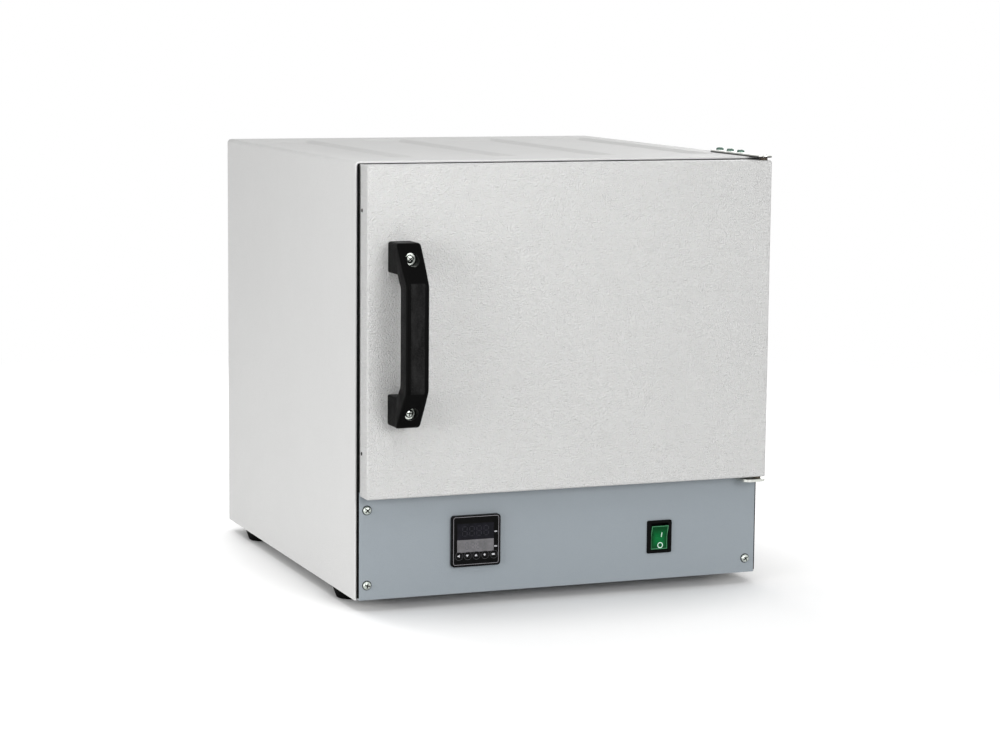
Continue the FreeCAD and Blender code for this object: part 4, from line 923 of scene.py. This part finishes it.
def face_mark(build, on):
    """The I on the rocker's upper face, or the O on its lower one."""
    if on:
        (x, z), (wide, tall) = MARK_ON_PLACE, MARK_ON_HALF
        add_prism(build, rectangle(x - wide, x + wide, z - tall, z + tall), MARK_DEPTH)
    else:
        x, z = MARK_OFF_PLACE
        inner = MARK_OFF_RADIUS - MARK_OFF_WIDTH
        add_band(build, circle_points(MARK_OFF_RADIUS, MARK_OFF_SIDES, x, 0, z),
                 circle_points(inner, MARK_OFF_SIDES, x, 0, z), MARK_DEPTH)


def face_highlight_strip(build, side, reach):
    """The strip painted lighter green round one face as its edges' highlight: two uprights, and a
    bar across its outer end.
    """
    half, inner = ROCKER_FACE_HALF, reach - ROCKER_HIGHLIGHT_WIDTH
    upright = sorted((0, side * inner))
    across = sorted((side * inner, side * reach))
    for low_x, high_x, ends in ((-half, -half + ROCKER_HIGHLIGHT_WIDTH, upright),
                                (half - ROCKER_HIGHLIGHT_WIDTH, half, upright), (-half, half, across)):
        add_prism(build, rectangle(low_x, high_x, *ends), MARK_DEPTH)


def build_rocker_marks():
    """The I and the O printed on the rocker's two faces, and the highlight strip painted round
    each face's edges.
    """
    low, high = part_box("switch_housing")
    x, _, pivot_z = centre_of(low, high)
    pivot = Vector((x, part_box("control_panel")[0][1] + ROCKER_PIVOT_BACK, pivot_z))
    tilt = math.atan((ROCKER_CORNER_DEPTH - ROCKER_MIDDLE_DEPTH) / ROCKER_HALF)
    reach = ROCKER_HALF / math.cos(tilt) - ROCKER_HIGHLIGHT_WIDTH / 2
    swung = Matrix.Translation(pivot) @ Matrix.Rotation(ROCKER_SWING, 4, "X")
    raised = Matrix.Translation(Vector((0, -ROCKER_MIDDLE_DEPTH, 0)))
    for side, name in ((1, "on"), (-1, "off")):
        marks, rim = bmesh.new(), bmesh.new()
        face_mark(marks, side > 0)
        face_highlight_strip(rim, side, reach)
        turn = swung @ (raised @ Matrix.Rotation(side * tilt, 4, "X"))
        # The rim pieces are painted highlights round the faces' edges
        for piece, build, finish in (("mark_" + name, marks, "print_white"),
                                     ("rim_" + name, rim, "rim_green")):
            mesh = to_mesh("rocker_" + piece, build)
            mesh.transform(turn)
            new_piece("rocker_" + piece, mesh, "rocker", "rocker_green", finish)


# Screws

def islands(node):
    """The vertex places of each separate solid in a node."""
    build = bmesh.new()
    build.from_mesh(node.data)
    bmesh.ops.remove_doubles(build, verts=build.verts, dist=WELD)
    left, found = set(build.verts), []
    while left:
        front, places = [left.pop()], []
        while front:
            vert = front.pop()
            places.append(vert.co.copy())
            for edge in vert.link_edges:
                other = edge.other_vert(vert)
                if other in left:
                    left.remove(other)
                    front.append(other)
        found.append(places)
    build.free()
    return sorted(found, key=lambda places: tuple(round(part, SCREW_SORT_DIGITS)
                                                  for part in min(places)))


def screw_frame(places):
    """A plain screw's crown, outward direction, head radius and length, from its vertices."""
    low = Vector(min(place[axis] for place in places) for axis in range(3))
    high = Vector(max(place[axis] for place in places) for axis in range(3))
    size, centre = high - low, (low + high) / 2
    axis = max(range(3), key=lambda index: abs(size[index] - sorted(size)[1]))
    across = [index for index in range(3) if index != axis]
    radius = size[across[0]] / 2
    rim = [place[axis] for place in places
           if math.hypot(*(place[index] - centre[index] for index in across)) > radius * RIM_SHARE]
    side = 1 if sum(rim) / len(rim) > centre[axis] else -1
    outward = Vector((0.0, 0.0, 0.0))
    outward[axis] = side
    return centre + outward * size[axis] / 2, outward, radius, size[axis]


def cross_outline(span, half_width):
    points = []
    for quarter in range(4):
        turn = Matrix.Rotation(math.radians(90 * quarter), 2)
        for x, y in ((half_width, half_width), (span, half_width), (span, -half_width)):
            points.append(turn @ Vector((x, -y)))
    return points


def add_cross(build, scale):
    """The tapered cross that is cut out of a screw's head, with its faces painted dark as the
    recess's shade.
    """
    rings = []
    for height, share in ((SCREW_HEAD_HEIGHT * RECESS_TOP, 1.0),
                          (SCREW_HEAD_HEIGHT - RECESS_DEPTH, RECESS_TAPER)):
        outline = cross_outline(RECESS_SPAN * scale * share, RECESS_HALF_WIDTH * scale * share)
        rings.append([build.verts.new((x, y, height)) for x, y in outline])
    # The recess's faces take the second finish, the painted shade
    wrap(build, *rings, material=1)
    for ring in rings:
        build.faces.new(ring).material_index = 1


def screw_mesh(name, radius, length, finish, washer):
    """A pan head screw about Z with its seat at nought: a domed head with a cross recess.

    Round the head's foot lies a plain washer, or else a thin ring painted dark as the shadow round
    the seat. The cross recess is painted dark as its shade.
    """
    build, cutter = bmesh.new(), bmesh.new()
    profile = [(radius * across, SCREW_HEAD_HEIGHT * up) for across, up in HEAD_PROFILE]
    add_lathe(build, profile, SCREW_SIDES)
    add_cross(cutter, radius / SCREW_RADIUS)
    holders = []
    for part_name, part in ((name, build), (name + "_cutter", cutter)):
        mesh = to_mesh(part_name, part)
        mesh.materials.append(FINISHES[finish])
        mesh.materials.append(FINISHES["recess_dark"])
        holders.append(bpy.data.objects.new(part_name, mesh))
        scene.collection.objects.link(holders[-1])
    carve(*holders)
    mesh = holders[0].data
    bpy.data.objects.remove(holders[0])
    whole = bmesh.new()
    whole.from_mesh(mesh)
    shank = radius * SCREW_SHANK_SHARE
    add_lathe(whole, [(shank, -length), (shank, WELD)], SCREW_SHANK_SIDES)
    # Without a washer, a thin ring painted dark as the shadow round the seat
    share, thick = (WASHER_SHARE, WASHER_THICK) if washer else (SCREW_SHADOW_RING_SHARE, MARK_DEPTH)
    rim = radius * share
    add_lathe(whole, [(rim, 0.0), (rim, thick)], SCREW_SIDES, material=0 if washer else 1)
    bmesh.ops.recalc_face_normals(whole, faces=whole.faces)
    whole.to_mesh(mesh)
    whole.free()
    return mesh


def build_screws(node_name, body, finish, washer):
    """Detailed screws where a node of the frame has its plain ones."""
    joined = bmesh.new()
    head = None
    for number, places in enumerate(islands(nodes[node_name]), start=1):
        crown, outward, radius, length = screw_frame(places)
        if head is None:
            head = screw_mesh(node_name + "_head", radius, length - SCREW_HEAD_HEIGHT,
                              finish, washer)
        turn = outward.to_track_quat("Z", "Y").to_matrix().to_4x4()
        spin = Matrix.Rotation(SCREW_SPIN * number, 4, "Z")
        copy = head.copy()
        copy.transform(Matrix.Translation(crown - outward * SCREW_HEAD_HEIGHT) @ turn @ spin)
        joined.from_mesh(copy)
        bpy.data.meshes.remove(copy)
    mesh = bpy.data.meshes.new(node_name + "_detailed")
    joined.to_mesh(mesh)
    joined.free()
    smooth(mesh, SCREW_SMOOTH_ANGLE)
    piece = new_piece(node_name + "_detailed", mesh, body, "zinc_screw", finish, "recess_dark")
    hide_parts(node_name)


# Camera, floor and light

def add_camera():
    data = bpy.data.cameras.new("view_camera")
    data.lens = CAMERA_LENS
    data.sensor_width = SENSOR_WIDTH
    data.clip_start, data.clip_end = CAMERA_CLIP
    back = Vector((
        -math.sin(CAMERA_AZIMUTH) * math.cos(CAMERA_ELEVATION),
        -math.cos(CAMERA_AZIMUTH) * math.cos(CAMERA_ELEVATION),
        math.sin(CAMERA_ELEVATION),
    ))
    right = (-back).cross(Vector((0, 0, 1))).normalized()
    up = right.cross(-back)
    roll_cos, roll_sin = math.cos(CAMERA_ROLL), math.sin(CAMERA_ROLL)
    across = right * roll_cos + up * roll_sin
    upward = up * roll_cos - right * roll_sin
    camera = bpy.data.objects.new("view_camera", data)
    turn = Matrix((across, upward, back)).transposed().to_4x4()
    camera.matrix_world = Matrix.Translation(CAMERA_TARGET + back * CAMERA_DISTANCE) @ turn
    scene.collection.objects.link(camera)
    scene.camera = camera


def add_floor():
    """A pale floor, white where nothing shades it, with shade painted into its colour close round
    the object, that fades into the backdrop.
    """
    half = FLOOR_SIZE / 2
    corners = [(-half, -half, 0), (half, -half, 0), (half, half, 0), (-half, half, 0)]
    mesh = bpy.data.meshes.new("floor")
    mesh.from_pydata(corners, [], [(0, 1, 2, 3)])
    floor = bpy.data.objects.new("floor", mesh)
    scene.collection.objects.link(floor)
    material = bpy.data.materials.new("floor")
    tree = Tree(material, "ShaderNodeOutputMaterial")
    seen = tree.seen_rays()
    # Painted shade: ambient occlusion darkens the floor's colour near the object
    cover = tree.node("ShaderNodeAmbientOcclusion")
    cover.inputs["Distance"].default_value = PAINTED_SHADE_REACH
    floor_painted_shade = tree.ramp(cover.outputs["AO"], PAINTED_SHADE_FULL, PAINTED_SHADE_NONE)
    shown = tree.mix(floor_painted_shade, FLOOR_PAINTED_SHADE, FLOOR_SEEN)
    matt = tree.node("ShaderNodeBsdfDiffuse")
    tree.link(tree.mix(seen, FLOOR_COLOUR, shown), matt.inputs["Color"])
    reach = tree.node("ShaderNodeVectorMath")
    reach.operation = "LENGTH"
    tree.link(tree.node("ShaderNodeTexCoord").outputs["Object"], reach.inputs[0])
    fade = tree.ramp(reach.outputs["Value"], FLOOR_FADE_START, FLOOR_FADE_END,
                     kind="SMOOTHSTEP")
    white = tree.node("ShaderNodeEmission")
    tree.link(seen, white.inputs["Strength"])
    blend = tree.node("ShaderNodeMixShader")
    tree.link(fade, blend.inputs["Fac"])
    tree.link(matt.outputs[0], blend.inputs[1])
    tree.link(white.outputs[0], blend.inputs[2])
    tree.link(blend.outputs[0], tree.output.inputs["Surface"])
    mesh.materials.append(material)
    return floor


def add_world():
    """White where it is seen directly, and an even pale light on everything else."""
    scene.world = bpy.data.worlds.new("studio")
    tree = Tree(scene.world, "ShaderNodeOutputWorld")
    background = tree.node("ShaderNodeBackground")
    background.inputs["Color"].default_value = grey(1.0)
    level = tree.ramp(tree.seen_rays(), 0.0, 1.0, AMBIENT, 1.0)
    tree.link(level, background.inputs["Strength"])
    tree.link(background.outputs[0], tree.output.inputs["Surface"])


def light_group(floor, state):
    """A receiver group: the floor alone (INCLUDE), or everything but the floor (EXCLUDE)."""
    group = bpy.data.collections.new("floor_" + state.lower())
    group.objects.link(floor)
    group.collection_objects[0].light_linking.link_state = state
    return group


def add_lamps(floor):
    groups = {state: light_group(floor, state) for state in ("INCLUDE", "EXCLUDE")}
    for name, place, size, power, state in LAMPS:
        data = bpy.data.lights.new(name, "AREA")
        data.shape = "SQUARE"
        data.size = size
        data.energy = power
        lamp = bpy.data.objects.new(name, data)
        lamp.location = place
        lamp.rotation_euler = (LAMP_TARGET - Vector(place)).to_track_quat("-Z", "Y").to_euler()
        scene.collection.objects.link(lamp)
        if state:
            lamp.light_linking.receiver_collection = groups[state]


dress_nodes()
build_handle()
build_digits()
build_bezel_details()
build_key_rings()
build_key_icons()
build_rocker_marks()
for screws in SCREWS:
    build_screws(*screws)
add_camera()
add_world()
add_lamps(add_floor())

scene.view_settings.view_transform = "Standard"
